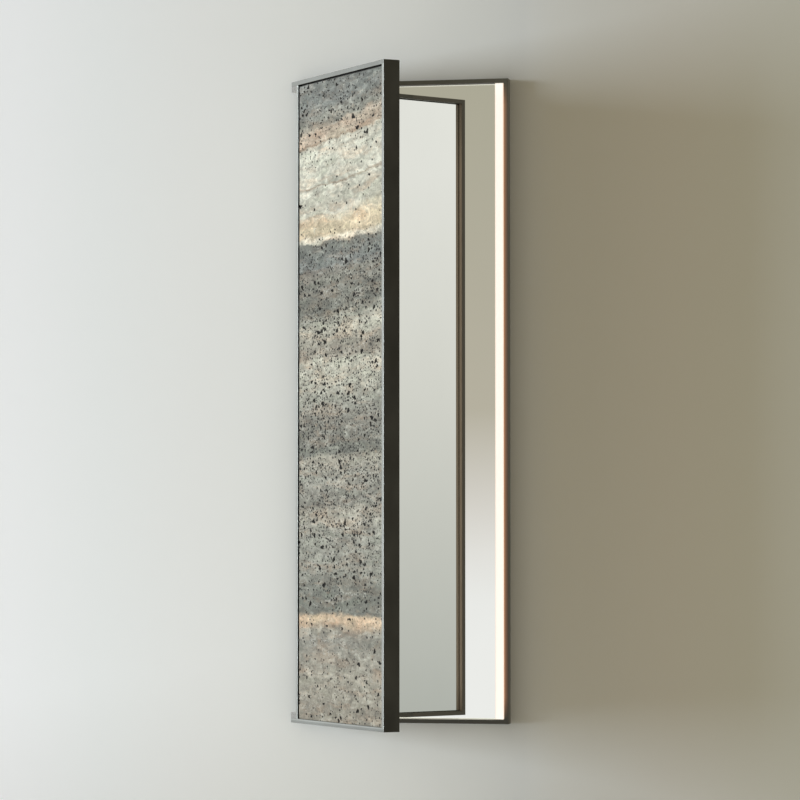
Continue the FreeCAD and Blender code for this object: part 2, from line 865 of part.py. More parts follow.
# Pivots on the wall unit
def make_brackets():
    """A bracket lies on the left bar's face, and its arm carries the pivot in front of it."""
    left = -half_width + bracket_side_inset
    right = -half_width + unit_bar_width - bracket_side_inset
    front = unit_front - bracket_thickness
    plate = block(left, right, front, unit_front, arm_top - bracket_height, arm_top)
    boss_left = (pivot_x - boss_radius, pivot_y)
    boss_right = (pivot_x + boss_radius, pivot_y)
    arm = prism_up([boss_left, boss_right, (right, front), (left, front)], arm_bottom, arm_top)
    boss = rod(boss_radius, point(pivot_x, pivot_y, arm_bottom), Z, bracket_thickness)
    root = block(left, right, front, unit_front, arm_bottom, arm_top)
    pin_hole = pin_bore(pin_radius + bush_fit, arm_bottom - over, arm_top + over)
    bracket = plate.fuse([arm, boss, root]).removeSplitter().cut([pin_hole] + bracket_screws(screw_fit))
    save("pivot_brackets", *pair(bracket))
    screws = []
    for screw in bracket_screws():
        screws += pair(screw)
    save("bracket_screws", *screws)
    middle = sum(bracket_screw_places()) / len(bracket_screw_places())
    half = bracket_screw_spacing / 2 + nut_bar_thickness
    inset = unit_bar_wall + key_fit
    nut_bar = block(
        -half_width + inset,
        -half_width + unit_bar_width - inset,
        unit_front + unit_bar_wall,
        unit_front + unit_bar_wall + nut_bar_thickness,
        middle - half,
        middle + half,
    )
    save("bracket_nut_bars", *pair(nut_bar.cut(bracket_screws(screw_fit))))


def make_pivot_pins():
    pin_top = top_z - door_bar_wall - pin_top_air
    shank = rod(pin_radius, point(pivot_x, pivot_y, arm_bottom), Z, pin_top - arm_bottom)
    head = rod(pin_head_radius, point(pivot_x, pivot_y, arm_bottom - pin_head_height), Z, pin_head_height)
    socket = hexagon(pin_radius * socket_share, -over, pin_head_height / 2)
    socket = pointing(socket, point(pivot_x, pivot_y, arm_bottom - pin_head_height), Z)
    save("pivot_pins", *pair(shank.fuse(head).removeSplitter().cut(socket)))
    washer = rod(washer_radius, point(pivot_x, pivot_y, arm_top), Z, washer_thickness)
    hole = rod(pin_radius + bush_fit, point(pivot_x, pivot_y, arm_top - over), Z, washer_thickness + 2 * over)
    save("thrust_washers", *pair(washer.cut(hole)))


def make_catch_magnets():
    save("catch_magnets", *pair(catch_block(unit_bar_wall, unit_front + unit_bar_wall)))


# Door: frame
def door_bar(low, high, mitres):
    flange = (door_flange_reach, core_back_depth, door_glass_back_depth)
    return hollow_bar(low, high, door_bar_width, door_thickness, door_bar_wall, flange, mitres)


def tab_envelope(z_low, z_high, grow=0):
    """The hinge tab's room, with its back left corner rounded to clear the wall unit as it turns."""
    left = -half_width - grow
    right = door_right + grow
    tab = block(left, right, door_front - grow, door_back + grow, z_low, z_high)
    rim = [
        edge
        for edge in tab.Edges
        if edge.BoundBox.ZLength > (z_high - z_low) / 2
        and edge.BoundBox.XMax < pivot_x
        and edge.BoundBox.YMin > pivot_y
    ]
    return tab.makeFillet(tab_corner_radius, rim)


def housing_screws(fit=0):
    """The screws that hold the top housing to the insert in the rail, or the holes for them."""
    length = housing_height + door_bar_wall + housing_screw_bite
    screw = countersunk(fixing_radius, fixing_head_radius, length, fit)
    places = [(pivot_x + housing_screw_x, pivot_y + side * housing_screw_y) for side in (-1, 1)]
    return [pointing(screw, point(x, y, tab_bottom), Z) for x, y in places]


def stile_screws(fit=0):
    """The screws through the top rail and its insert into the left stile's plug, or the holes for them."""
    length = door_bar_width + stile_screw_bite
    screw = countersunk(fixing_radius, fixing_head_radius, length, fit)
    x = door_left + door_bar_width / 2
    middle = (door_front + door_back) / 2
    return [pointing(screw, point(x, middle + side * stile_screw_y, top_z), -Z) for side in (-1, 1)]


def make_door_rails():
    length = door_right + half_width
    bar = door_bar(-length / 2, length / 2, (False, True))
    middle = (door_right - half_width) / 2
    rail = turned(bar, 90, middle, door_front, top_z)
    stile_room = block(
        -half_width - over,
        door_inner_left + door_flange_reach,
        door_front,
        door_back,
        door_inner_top - door_flange_reach - over,
        door_inner_top,
    )
    wall_top = door_inner_top + door_bar_wall
    pin_hole = pin_bore(pin_radius + pin_hole_gap, door_inner_top - over, wall_top + over)
    rail = rail.cut([stile_room, pin_hole] + housing_screws(screw_fit) + stile_screws(screw_fit))
    rail = rail.common(tab_envelope(door_inner_top - 2 * door_flange_reach, top_z))
    save_door("door_top_rail", rail)
    save_door("door_bottom_rail", flipped(rail))


def make_door_stiles():
    left = door_bar(door_inner_bottom, door_inner_top, (False, False))
    left = turned(left, 0, door_left, door_front, 0)
    holes = []
    for hole in stile_screws(screw_fit):
        holes += pair(hole)
    save_door("door_left_stile", left.cut(holes))
    right = door_bar(-unit_height / 2, unit_height / 2, (True, True))
    save_door("door_right_stile", turned(right, 180, door_right, door_front, mid_z))


def make_door_keys():
    key = corner_key(
        door_bar_width, door_bar_wall, door_key_leg, door_front, door_back, door_right, top_z, -1, -1
    )
    save_door("door_corner_keys", *pair(key))
    inset = door_bar_wall + key_fit
    plug = block(
        door_left + inset,
        door_inner_left - inset,
        door_front + inset,
        door_back - inset,
        door_inner_top - stile_plug_height,
        door_inner_top,
    )
    save_door("stile_plugs", *pair(plug.cut(stile_screws(screw_fit))))
    screws = []
    for screw in stile_screws():
        screws += pair(screw)
    save_door("stile_screws", *screws)


# Door: pivots
def make_hinge_inserts():
    inset = door_bar_wall + key_fit
    insert = block(
        -half_width,
        -half_width + insert_length,
        door_front + inset,
        door_back - inset,
        door_inner_top + inset,
        top_z - inset,
    )
    insert = insert.common(tab_envelope(door_inner_top, top_z))
    bore = pin_bore(pin_radius + pin_clearance, door_inner_top - over, top_z + over)
    insert = insert.cut([bore] + housing_screws(screw_fit) + stile_screws(screw_fit))
    save_door("hinge_inserts", *pair(insert))


def make_housings():
    housing = tab_envelope(tab_bottom, door_inner_top).common(
        block(-half_width, door_left, door_front, door_back, tab_bottom, door_inner_top)
    )
    bore = pin_bore(bush_radius, tab_bottom - over, door_inner_top + over)
    save_door("pivot_housings", *pair(housing.cut([bore] + housing_screws(screw_fit))))
    bush = pin_bore(bush_radius - bush_fit, tab_bottom, door_inner_top)
    bush = bush.cut(pin_bore(pin_radius + pin_clearance, tab_bottom - over, door_inner_top + over))
    save_door("pivot_bushes", *pair(bush))
    screws = []
    for screw in housing_screws():
        screws += pair(screw)
    save_door("housing_screws", *screws)


# Door: stone, core and mirror
def make_door_panels():
    stone = arrised_plate(
        door_inner_left + stone_side_gap,
        door_inner_right - stone_side_gap,
        door_front + stone_recess,
        door_front + core_front_depth,
        door_inner_bottom,
        door_inner_top - stone_top_gap,
        stone_arris,
    )
    save_door("stone_slab", stone)
    core = block(
        door_inner_left + core_edge_gap,
        door_inner_right - core_edge_gap,
        door_front + core_front_depth,
        door_front + core_back_depth,
        door_inner_bottom + core_edge_gap,
        door_inner_top - core_edge_gap,
    )
    save_door("core_board", core)


def make_door_mirror():
    """The door's mirror faces the wall unit, so its ground edges are at its back in the closed pose."""
    left = door_inner_left + glass_edge_gap
    right = door_inner_right - glass_edge_gap
    low = door_inner_bottom + glass_edge_gap
    high = door_inner_top - glass_edge_gap
    back = door_front + door_glass_back_depth
    face = door_front + door_glass_front_depth
    glass = block(left, right, back, face, low, high)
    rim = [edge for edge in glass.Edges if abs(edge.BoundBox.YMin - face) < glass_arris / 2]
    save_door("door_mirror", glass.makeChamfer(glass_arris, rim))
    half_span = (right - left) / 2
    tapes = []
    for share in door_tape_place_shares:
        x = (left + right) / 2 + share * half_span
        half = door_tape_width / 2
        tape_front = door_front + core_back_depth
        tapes.append(block(x - half, x + half, tape_front, back, low + tape_end_inset, high - tape_end_inset))
    save_door("door_mirror_tapes", *tapes)
    blocks = []
    for side in (-1, 1):
        x = (left + right) / 2 + side * block_place_share * half_span
        half = block_length / 2
        blocks.append(block(x - half, x + half, back, face, door_inner_bottom, low))
    save_door("door_glass_blocks", *blocks)


def make_door_stops():
    strike = catch_block(door_bar_wall, door_back - door_bar_wall - catch_depth)
    save_door("catch_strikes", *pair(strike))
    bumpers = []
    for x in bumper_x_places:
        start = point(x, door_back, top_z - door_bar_width / 2)
        bumpers += pair(rod(bumper_radius, start, Y, door_gap - bumper_air))
    save_door("door_bumpers", *bumpers)


make_unit_frame()
make_unit_keys()
make_main_mirror()
make_back_panel()
make_wall_rail()
make_hanging_rail()
make_wall_spacers()
for strip_side, strip_word in ((-1, "left"), (1, "right")):
    make_led_channel("led_channel_" + strip_word, strip_side)
    make_led_strip("led_strip_" + strip_word, strip_side)
    make_led_diffuser("led_diffuser_" + strip_word, strip_side)
make_led_caps()
make_driver_case()
make_driver_lid()
make_driver_board()
make_inlet_gland()
make_leads()
make_brackets()
make_pivot_pins()
make_catch_magnets()
make_door_rails()
make_door_stiles()
make_door_keys()
make_hinge_inserts()
make_housings()
make_door_panels()
make_door_mirror()
make_door_stops()
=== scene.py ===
import json
import math

import bpy
import numpy as np
from mathutils import Matrix, Vector


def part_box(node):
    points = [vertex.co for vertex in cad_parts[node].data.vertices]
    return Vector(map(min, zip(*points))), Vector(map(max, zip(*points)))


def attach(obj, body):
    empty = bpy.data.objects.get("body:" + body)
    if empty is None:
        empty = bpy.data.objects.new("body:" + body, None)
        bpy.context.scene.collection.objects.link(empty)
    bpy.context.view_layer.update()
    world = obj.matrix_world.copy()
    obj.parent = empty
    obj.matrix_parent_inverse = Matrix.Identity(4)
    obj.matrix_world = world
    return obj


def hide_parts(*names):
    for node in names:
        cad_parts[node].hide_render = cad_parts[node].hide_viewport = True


# Looks of the illuminated mirror, in metres. +X is to the right, -Y to the front and +Z up.

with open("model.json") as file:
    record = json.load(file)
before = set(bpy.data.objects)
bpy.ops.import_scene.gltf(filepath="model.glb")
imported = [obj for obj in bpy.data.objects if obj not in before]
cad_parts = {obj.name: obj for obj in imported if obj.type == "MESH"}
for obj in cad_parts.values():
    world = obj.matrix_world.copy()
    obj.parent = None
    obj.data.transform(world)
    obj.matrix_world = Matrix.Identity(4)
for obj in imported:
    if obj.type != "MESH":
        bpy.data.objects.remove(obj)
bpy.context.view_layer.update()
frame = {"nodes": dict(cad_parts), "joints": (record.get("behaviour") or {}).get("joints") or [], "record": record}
joint = frame["joints"][0]
pivot = Vector(joint["pos_m"])
open_angle = math.radians(-joint["range_deg"][0])
unit_low, unit_high = (Vector(corner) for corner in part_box("main_mirror"))
strip_low, strip_high = (Vector(corner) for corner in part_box("led_diffuser_right"))
unit_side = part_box("unit_right_bar")[1][0]

# Directions along and into the door as it stands open
door_across = Vector((math.cos(open_angle), -math.sin(open_angle), 0.0))
door_inward = Vector((math.sin(open_angle), math.cos(open_angle), 0.0))

# Camera
lens = 161.56
sensor = 36.0
camera_place = (1.7579, -8.2215, -0.9048)
camera_yaw = math.radians(12.154)
camera_pitch = math.radians(2.099)

# Stone slab, and the rear face of the closed door with the recess of its glass
slab_left = -0.213
slab_right = 0.213
slab_front = -0.0715
slab_back = -0.0635
slab_bottom = -1.340
slab_top = 0.136
slab_step = 0.0015
slab_arris = 0.0006
slab_joint = 0.004
slab_seed = 11
slab_middle = (slab_bottom + slab_top) / 2
slab_half = (slab_top - slab_bottom) / 2 + slab_joint
door_rear = -0.034
door_recess = 0.012

# How much brighter the painted reflection on the door's brushed uprights is than on its rails
stile_brightness = 1.4

# Unevenness of the slab's face: its depth, and how many random points it has across and along
face_waves = (
    (0.00012, 12, 90),
    (0.00005, 60, 220),
)

# Waves of the strata, by share of the slab's height, with their random points across and along
strata_wave_shares = (
    (0.0025, 4, 40),
    (0.0012, 12, 130),
)
strata_waver_share = 0.0065

# Open pits in the stone, sunk in the mesh
pit_count = 1000
pit_radius = 0.0024
pit_spread = 0.42
pit_largest = 0.0075
pit_room = 1.3
pit_depth_share = 0.8
pit_deepest = 0.0035
pit_width_shares = (0.95, 1.6)
pit_height_shares = (0.7, 1.1)
pit_wall_share = 0.5
pit_reach_share = 2.2
pit_patches = (8, 46)
pit_patch_least_share = 0.08

# Bulges of a pit's edge: how many go around it, and their size as a share of its radius
pit_edge_shares = (
    (2, 0.2),
    (3, 0.18),
    (5, 0.12),
)

# Smaller pits in the stone's material: cells to a metre, and how many of the cells hold one
fine_pit_cells = 230.0
fine_pit_share = 0.34
middle_pit_cells = 110.0
middle_pit_share = 0.8
small_pit_shares = (0.14, 0.42)
small_pit_floor_share = 0.7
small_pit_flatness = 1.2
small_pit_wander = 0.0012
small_pit_rise = 0.0008

# Depths of the bumps in the materials
streak_depth = 0.000004
metal_grain_depth = 0.00002
opal_grain_depth = 0.00002
pore_depth = 0.00006
press_mark_depth = 0.00008
stone_grain_depth = 0.0004
stone_pit_depth = 0.0009

# Light of the strips, and a painted glow standing for its light on the bars beside them, on the glass's rims, in
# the door's recess and on the door's back
strip_light = 0.8
strip_edge_shares = (0.36, 0.5)
strip_glow = 0.5
strip_glow_reach = 0.0038
strip_glow_colour = (1.0, 0.45, 0.22, 1.0)
strip_fade = 0.05
lip_bottom_glow = 0.75
lip_glow_colour = (1.0, 0.97, 0.82, 1.0)
rim_top = 0.0022
rim_top_glow = 0.55
rim_bottom = 0.0017
rim_bottom_glow = 0.55
rim_glow_colour = (1.0, 0.97, 0.86, 1.0)
recess_glow = 0.15
recess_rim_glow = 0.10
recess_groove = 0.0032
recess_top_fade = 0.16
recess_top_share = 0.4
recess_bottom_fade = 0.06
recess_bottom_share = 0.5
rear_glow = 0.012
door_glow_start = 0.3
door_glow_colour = (1.0, 0.72, 0.48, 1.0)

# Room: how far the wall and the floor reach, and half the width of the wall's middle 2 m
wall_reach = 3.2
floor_height = -1.65
floor_depth = 4.5
wall_gap = 0.0006
wall_middle = 1.0
floor_light = 0.25

# Soft lamps: name, place, width and height, power, colour, and whether metal and mirrors show them
lamps = (
    ("window", (-17.5, -7.0, -0.6), (5.5, 6.6), 3300.0, (0.84, 0.925, 1.0), True),
    ("front_fill", (1.9, -8.0, -0.7), (3.0, 3.0), 68.0, (1.0, 0.83, 0.55), False),
    ("rear_fill", (-1.6, 4.6, 0.8), (2.5, 2.5), 150.0, (1.0, 0.99, 0.97), False),
)

# Fill light of the world from the left and from the right
left_fill = (0.300, 0.264, 0.184, 1.0)
right_fill = (0.0, 0.0, 0.0, 1.0)

# Soft painted shade on the wall beside the unit, and above and below it by share of the wall's middle 2 m
side_shade = 0.24
side_shade_reach = 0.03
end_shade_reach = 0.05
end_shade_shares = (
    (0.44, 0.0),
    (0.49, 0.27),
    (0.54, 0.31),
    (0.60, 0.15),
    (0.64, 0.0),
)


def linear(red, green, blue):
    """A colour given as it looks on a screen, in shares of 255, as the shader wants it."""
    shares = [value / 255 for value in (red, green, blue)]
    levels = [share / 12.92 if share <= 0.04045 else ((share + 0.055) / 1.055) ** 2.4 for share in shares]
    return tuple(levels) + (1.0,)


# Stretch that leaves a piece's coordinates as they are
unstretched = (1.0, 1.0, 1.0)


class Nodes:
    """Adds shader nodes to one tree and links them."""

    def __init__(self, tree):
        self.tree = tree

    def join(self, socket, value):
        """Links a socket's output to a socket, or sets the socket to a plain value."""
        if isinstance(value, bpy.types.NodeSocket):
            self.tree.links.new(value, socket)
        else:
            socket.default_value = value

    def add(self, kind, inputs=(), **settings):
        made = self.tree.nodes.new(kind)
        for name, value in settings.items():
            setattr(made, name, value)
        for name, value in dict(inputs).items():
            self.join(made.inputs[name], value)
        return made

    def place(self, scale=unstretched):
        """The piece's own coordinates in metres, stretched."""
        source = self.add("ShaderNodeTexCoord").outputs["Object"]
        return self.add("ShaderNodeMapping", {"Vector": source, "Scale": scale}).outputs["Vector"]

    def parts(self, vector):
        return self.add("ShaderNodeSeparateXYZ", {"Vector": vector}).outputs

    def vector(self, x, y, z=0.0):
        return self.add("ShaderNodeCombineXYZ", {"X": x, "Y": y, "Z": z}).outputs["Vector"]

    def noise(self, vector, scale, detail=4.0, roughness=0.55, distortion=0.0):
        inputs = {"Vector": vector, "Scale": scale, "Detail": detail, "Roughness": roughness}
        inputs["Distortion"] = distortion
        return self.add("ShaderNodeTexNoise", inputs).outputs["Fac"]

    def own_noise(self, stretch, *settings):
        """A noise in the piece's own stretched coordinates."""
        return self.noise(self.place(stretch), *settings)

    def ramp(self, value, *stops):
        """A ramp from value through (place, level or colour) stops."""
        made = self.add("ShaderNodeValToRGB", {"Fac": value})
        elements = made.color_ramp.elements
        while len(elements) < len(stops):
            elements.new(1.0)
        for element, (place, level) in zip(elements, stops):
            element.position = place
            element.color = level if isinstance(level, tuple) else (level, level, level, 1.0)
        return made.outputs["Color"]

    def span(self, value, low, high, to_low=0.0, to_high=1.0):
        """A value carried from one range to another, and held at its ends."""
        inputs = {"Value": value, "From Min": low, "From Max": high, "To Min": to_low, "To Max": to_high}
        return self.add("ShaderNodeMapRange", inputs).outputs["Result"]

    def math(self, operation, *values):
        made = self.add("ShaderNodeMath", operation=operation)
        for socket, value in zip(made.inputs, values):
            self.join(socket, value)
        return made.outputs[0]

    def product(self, first, *others):
        for other in others:
            first = self.math("MULTIPLY", first, other)
        return first

    def mix(self, share, first, second):
        made = self.add("ShaderNodeMix", data_type="RGBA")
        for name, value in (("Factor_Float", share), ("A_Color", first), ("B_Color", second)):
            self.join(next(s for s in made.inputs if s.identifier == name), value)
        return next(s for s in made.outputs if s.identifier == "Result_Color")

    def scaled(self, colour, level):
        made = self.add("ShaderNodeVectorMath", {"Scale": level}, operation="SCALE")
        self.join(made.inputs[0], colour)
        return made.outputs["Vector"]

    def tinted(self, colour, tint):
        made = self.add("ShaderNodeVectorMath", operation="MULTIPLY")
        self.join(made.inputs[0], colour)
        made.inputs[1].default_value = tint
        return made.outputs["Vector"]

    def facing(self, direction, low=0.8, high=0.92):
        """How far the piece's surface faces a direction of its own coordinates."""
        made = self.add("ShaderNodeVectorMath", operation="DOT_PRODUCT")
        self.join(made.inputs[0], self.add("ShaderNodeTexCoord").outputs["Normal"])
        made.inputs[1].default_value = direction
        return self.span(made.outputs["Value"], low, high)

    def bump(self, height, distance, strength=1.0, normal=None):
        inputs = {"Height": height, "Distance": distance, "Strength": strength}
        if normal is not None:
            inputs["Normal"] = normal
        return self.add("ShaderNodeBump", inputs).outputs["Normal"]

    def attribute(self, name):
        return self.add("ShaderNodeAttribute", attribute_name=name).outputs["Fac"]


def new_material(name):
    material = bpy.data.materials.new(name)
    material.use_nodes = True
    tree = material.node_tree
    return material, Nodes(tree), tree.nodes["Principled BSDF"]


def set_shader(nodes, shader, **inputs):
    """Sets the shader's sockets, whose names are written here with _ for a space."""
    for name, value in inputs.items():
        nodes.join(shader.inputs[name.replace("_", " ")], value)


# Materials, with the painted shade of metal deep in a joint or recess
painted_shade = linear(16, 16, 15)


def bronze(nodes):
    """The colour, roughness and bump of dark bronze anodising, finely streaked along the bars."""
    streaks = nodes.own_noise((1500.0, 1500.0, 9.0), 1.0, 3.0)
    clouds = nodes.own_noise((1.0, 1.0, 0.6), 14.0, 4.0)
    tone = nodes.mix(nodes.span(clouds, 0.3, 0.7), linear(91, 89, 82), linear(98, 96, 88))
    tone = nodes.mix(nodes.span(streaks, 0.35, 0.65, 0.0, 0.12), tone, linear(108, 106, 97))
    roughness = nodes.span(clouds, 0.3, 0.7, 0.34, 0.42)
    return tone, roughness, nodes.bump(streaks, streak_depth, 0.4)


def from_strips(nodes):
    """How far a point of the wall unit is from the nearer light strip."""
    place = nodes.parts(nodes.place())
    across = nodes.math("ABSOLUTE", place["X"])
    gaps = (
        (across, strip_low.x, strip_high.x),
        (place["Z"], strip_low.z, strip_high.z),
    )
    sides = [
        nodes.math("MAXIMUM", nodes.math("SUBTRACT", value, high), nodes.math("SUBTRACT", low, value))
        for value, low, high in gaps
    ]
    aside, above = (nodes.math("MAXIMUM", side, 0.0) for side in sides)
    made = nodes.add("ShaderNodeVectorMath", operation="LENGTH")
    nodes.join(made.inputs[0], nodes.vector(aside, above))
    return made.outputs["Value"]


def unit_metal():
    """Bronze bars, painted darker toward the floor as painted shade, with painted shade under the top bar's lip
    and a painted glow standing for the strips' warm light on their faces and on the bottom lip.
    """
    material, nodes, shader = new_material("bronze_unit_bars")
    tone, roughness, normal = bronze(nodes)
    place = nodes.parts(nodes.place())
    along = place["Z"]
    # Painted shade: the bars are painted darker toward the floor and lighter toward the top
    tone = nodes.scaled(tone, nodes.span(along, unit_low.z, unit_high.z, 0.6, 1.1))
    low_half = nodes.math("LESS_THAN", along, (unit_low.z + unit_high.z) / 2)
    before_glass = nodes.math("LESS_THAN", place["Y"], unit_low.y)
    low_lip = nodes.product(nodes.facing((0.0, 0.0, 1.0)), low_half, before_glass)
    high_half = nodes.math("SUBTRACT", 1.0, low_half)
    high_lip = nodes.product(nodes.facing((0.0, 0.0, -1.0)), high_half, before_glass)
    # Painted shade: the top bar's underside inside the recess is painted near black
    tone = nodes.mix(high_lip, tone, painted_shade)
    # Painted glow: emission standing for the strips' light on the bars' front faces beside them and on the bottom
    # bar's lip
    near = nodes.math("EXPONENT", nodes.product(from_strips(nodes), -1.0 / strip_glow_reach))
    near = nodes.product(near, nodes.facing((0.0, -1.0, 0.0)), strip_glow)
    near = nodes.product(near, nodes.span(along, strip_high.z, strip_high.z - strip_fade))
    near = nodes.product(near, nodes.span(along, strip_low.z, strip_low.z + strip_fade))
    glow = nodes.mix(low_lip, strip_glow_colour, lip_glow_colour)
    near = nodes.math("MAXIMUM", near, nodes.product(low_lip, lip_bottom_glow))
    set_shader(nodes, shader, Base_Color=tone, Metallic=1.0, Roughness=roughness, Normal=normal)
    set_shader(nodes, shader, Emission_Color=glow, Emission_Strength=near)
    return material


def door_place(nodes):
    """A point's place across, into and up the door, as if the door were closed."""
    place = nodes.place()
    made = []
    for direction, start in ((door_across, pivot.x), (door_inward, pivot.y)):
        along = nodes.add("ShaderNodeVectorMath", {0: place, 1: direction}, operation="DOT_PRODUCT")
        made.append(nodes.math("ADD", along.outputs["Value"], start - direction.dot(pivot)))
    return made[0], made[1], nodes.parts(place)["Z"]


def beside_stone(nodes, reach, depth, height):
    """One on the faces that line the joint around the stone, which are painted dark as painted shade."""
    sides = (
        nodes.math("GREATER_THAN", reach, slab_left - slab_joint),
        nodes.math("LESS_THAN", reach, slab_right + slab_joint),
        nodes.math("GREATER_THAN", height, slab_bottom - slab_joint),
        nodes.math("LESS_THAN", height, slab_top + slab_joint),
        nodes.math("LESS_THAN", depth, slab_back),
    )
    return nodes.product(*sides)


def door_metal():
    """Bronze bars with a pale painted reflection on their brushed front faces, painted shade in the joint around
    the stone, and a painted glow standing for the strips' warm light on the faces inside.
    """
    material, nodes, shader = new_material("bronze_door_bars")
    tone, roughness, normal = bronze(nodes)
    grain = nodes.own_noise((500.0, 500.0, 8.0), 1.0, 4.0)
    # Painted reflection: the front faces are painted pale, darker toward the floor and the free edge, and brighter
    # on the uprights
    painted_sheen = nodes.mix(grain, linear(148, 150, 146), linear(164, 165, 161))
    reach, depth, height = door_place(nodes)
    painted_sheen = nodes.scaled(painted_sheen, nodes.span(height, slab_bottom, slab_top, 0.86, 0.99))
    painted_sheen = nodes.scaled(painted_sheen, nodes.span(reach, slab_left, slab_right, 1.0, 0.9))
    from_middle = nodes.math("ABSOLUTE", nodes.math("SUBTRACT", height, slab_middle))
    stile = nodes.math("LESS_THAN", from_middle, slab_half)
    painted_sheen = nodes.scaled(painted_sheen, nodes.span(stile, 0.0, 1.0, 1.0, stile_brightness))
    # Painted shade on the faces lining the joint around the stone
    tone = nodes.mix(beside_stone(nodes, reach, depth, height), tone, painted_shade)
    tone = nodes.mix(nodes.facing(-door_inward), tone, painted_sheen)
    # Painted glow: emission standing for the strips' light on the free upright's inner face and on the door's back
    far = nodes.math("GREATER_THAN", reach, pivot.x + door_glow_start)
    glass = door_rear - door_recess
    lit = nodes.span(depth, glass, door_rear, recess_glow, recess_rim_glow)
    lit = nodes.product(lit, nodes.span(depth, glass, glass + recess_groove))
    top = nodes.span(height, slab_top, slab_top - recess_top_fade, recess_top_share, 1.0)
    bottom = nodes.span(height, slab_bottom, slab_bottom + recess_bottom_fade, recess_bottom_share, 1.0)
    lit = nodes.product(nodes.facing(-door_across), far, lit, top, bottom)
    lit = nodes.math("ADD", lit, nodes.product(nodes.facing(door_inward), far, rear_glow))
    set_shader(nodes, shader, Base_Color=tone, Metallic=1.0, Roughness=roughness, Normal=normal)
    set_shader(nodes, shader, Emission_Color=door_glow_colour, Emission_Strength=lit)
    return material


def brushed_metal(name, dark, light, low, high, stretch):
    """Bare metal with a fine grain along one direction."""
    material, nodes, shader = new_material(name)
    grain = nodes.own_noise(stretch, 1.0, 4.0)
    clouds = nodes.own_noise(unstretched, 30.0, 3.0)
    tone = nodes.mix(grain, dark, light)
    tone = nodes.mix(nodes.span(clouds, 0.35, 0.75, 0.0, 0.3), tone, dark)
    roughness = nodes.span(grain, 0.25, 0.75, low, high)
    normal = nodes.bump(grain, metal_grain_depth, 0.4)
    set_shader(nodes, shader, Base_Color=tone, Metallic=1.0, Roughness=roughness, Normal=normal)
    return material


def lit_rims(nodes):
    """The matt rims at the top and the bottom of the unit's glass, which get a painted glow standing for the
    strips' light.
    """
    height = nodes.parts(nodes.place())["Z"]
    top = nodes.math("GREATER_THAN", height, unit_high.z - rim_top)
    bottom = nodes.math("LESS_THAN", height, unit_low.z + rim_bottom)
    return top, bottom


def mirror_glass(name, front, rims=False):
    """Silvered glass with the faint haze of wiping marks, and clear ground edges; with rims, its top and bottom
    rims lose their silver and get a painted glow.
    """
    material, nodes, shader = new_material(name)
    haze = nodes.own_noise((1.0, 1.0, 0.5), 9.0, 5.0, 0.6, 0.6)
    silver = nodes.facing(front)
    if rims:
        # Painted glow on the rims, standing for the strips' light
        top, bottom = lit_rims(nodes)
        silver = nodes.product(silver, nodes.math("SUBTRACT", 1.0, nodes.math("MAXIMUM", top, bottom)))
        glow = nodes.math("ADD", nodes.product(top, rim_top_glow), nodes.product(bottom, rim_bottom_glow))
        set_shader(nodes, shader, Emission_Color=rim_glow_colour, Emission_Strength=glow)
    tone = nodes.mix(haze, linear(244, 245, 243), linear(247, 248, 246))
    tone = nodes.mix(silver, linear(222, 230, 224), tone)
    roughness = nodes.span(haze, 0.45, 0.8, 0.0, 0.012)
    roughness = nodes.span(silver, 0.0, 1.0, 0.3, roughness)
    set_shader(nodes, shader, Base_Color=tone, Metallic=silver, Roughness=roughness)
    return material


def opal_light():
    """The lit opal cover of a light strip: even, and warmer at its edges."""
    material, nodes, shader = new_material("lit_opal_cover")
    cloud = nodes.own_noise((1.0, 1.0, 0.3), 40.0, 2.0)
    across = nodes.math("ABSOLUTE", nodes.parts(nodes.place())["X"])
    aside = nodes.math("ABSOLUTE", nodes.math("SUBTRACT", across, (strip_low.x + strip_high.x) / 2))
    inner, outer = (share * (strip_high.x - strip_low.x) for share in strip_edge_shares)
    edge = nodes.span(aside, inner, outer)
    glow = nodes.mix(cloud, (1.0, 0.93, 0.88, 1.0), (1.0, 0.94, 0.90, 1.0))
    glow = nodes.mix(edge, glow, (1.0, 0.76, 0.60, 1.0))
    cover = nodes.mix(cloud, linear(246, 243, 235), linear(250, 247, 240))
    grain = nodes.own_noise(unstretched, 900.0, 2.0)
    normal = nodes.bump(grain, opal_grain_depth, 0.3)
    set_shader(nodes, shader, Base_Color=cover, Roughness=0.45, Normal=normal)
    set_shader(nodes, shader, Emission_Color=glow, Emission_Strength=strip_light)
    return material


def moulded(name, dark, light, roughness, grain=700.0):
    """Moulded plastic or rubber with a fine texture."""
    material, nodes, shader = new_material(name)
    pores = nodes.own_noise(unstretched, grain, 3.0)
    clouds = nodes.own_noise(unstretched, 25.0, 3.0)
    tone = nodes.mix(nodes.span(clouds, 0.3, 0.7), dark, light)
    level = nodes.span(pores, 0.3, 0.7, roughness - 0.06, roughness + 0.06)
    normal = nodes.bump(pores, pore_depth, 0.35)
    set_shader(nodes, shader, Base_Color=tone, Roughness=level, Normal=normal)
    return material


def filmed_plywood():
    """Plywood under a black phenolic film, which shows the mesh of its press plate."""
    material, nodes, shader = new_material("black_filmed_plywood")
    grain = nodes.own_noise((60.0, 60.0, 3.0), 3.0, 5.0, 0.6, 0.8)
    film_shares = (
        (0.3, linear(20, 18, 17)),
        (0.55, linear(30, 27, 25)),
        (0.8, linear(24, 22, 20)),
    )
    tone = nodes.ramp(grain, *film_shares)
    press = nodes.own_noise(unstretched, 420.0, 2.0)
    normal = nodes.bump(press, press_mark_depth, 0.4)
    roughness = nodes.span(grain, 0.3, 0.7, 0.55, 0.7)
    set_shader(nodes, shader, Base_Color=tone, Roughness=roughness, Normal=normal)
    return material


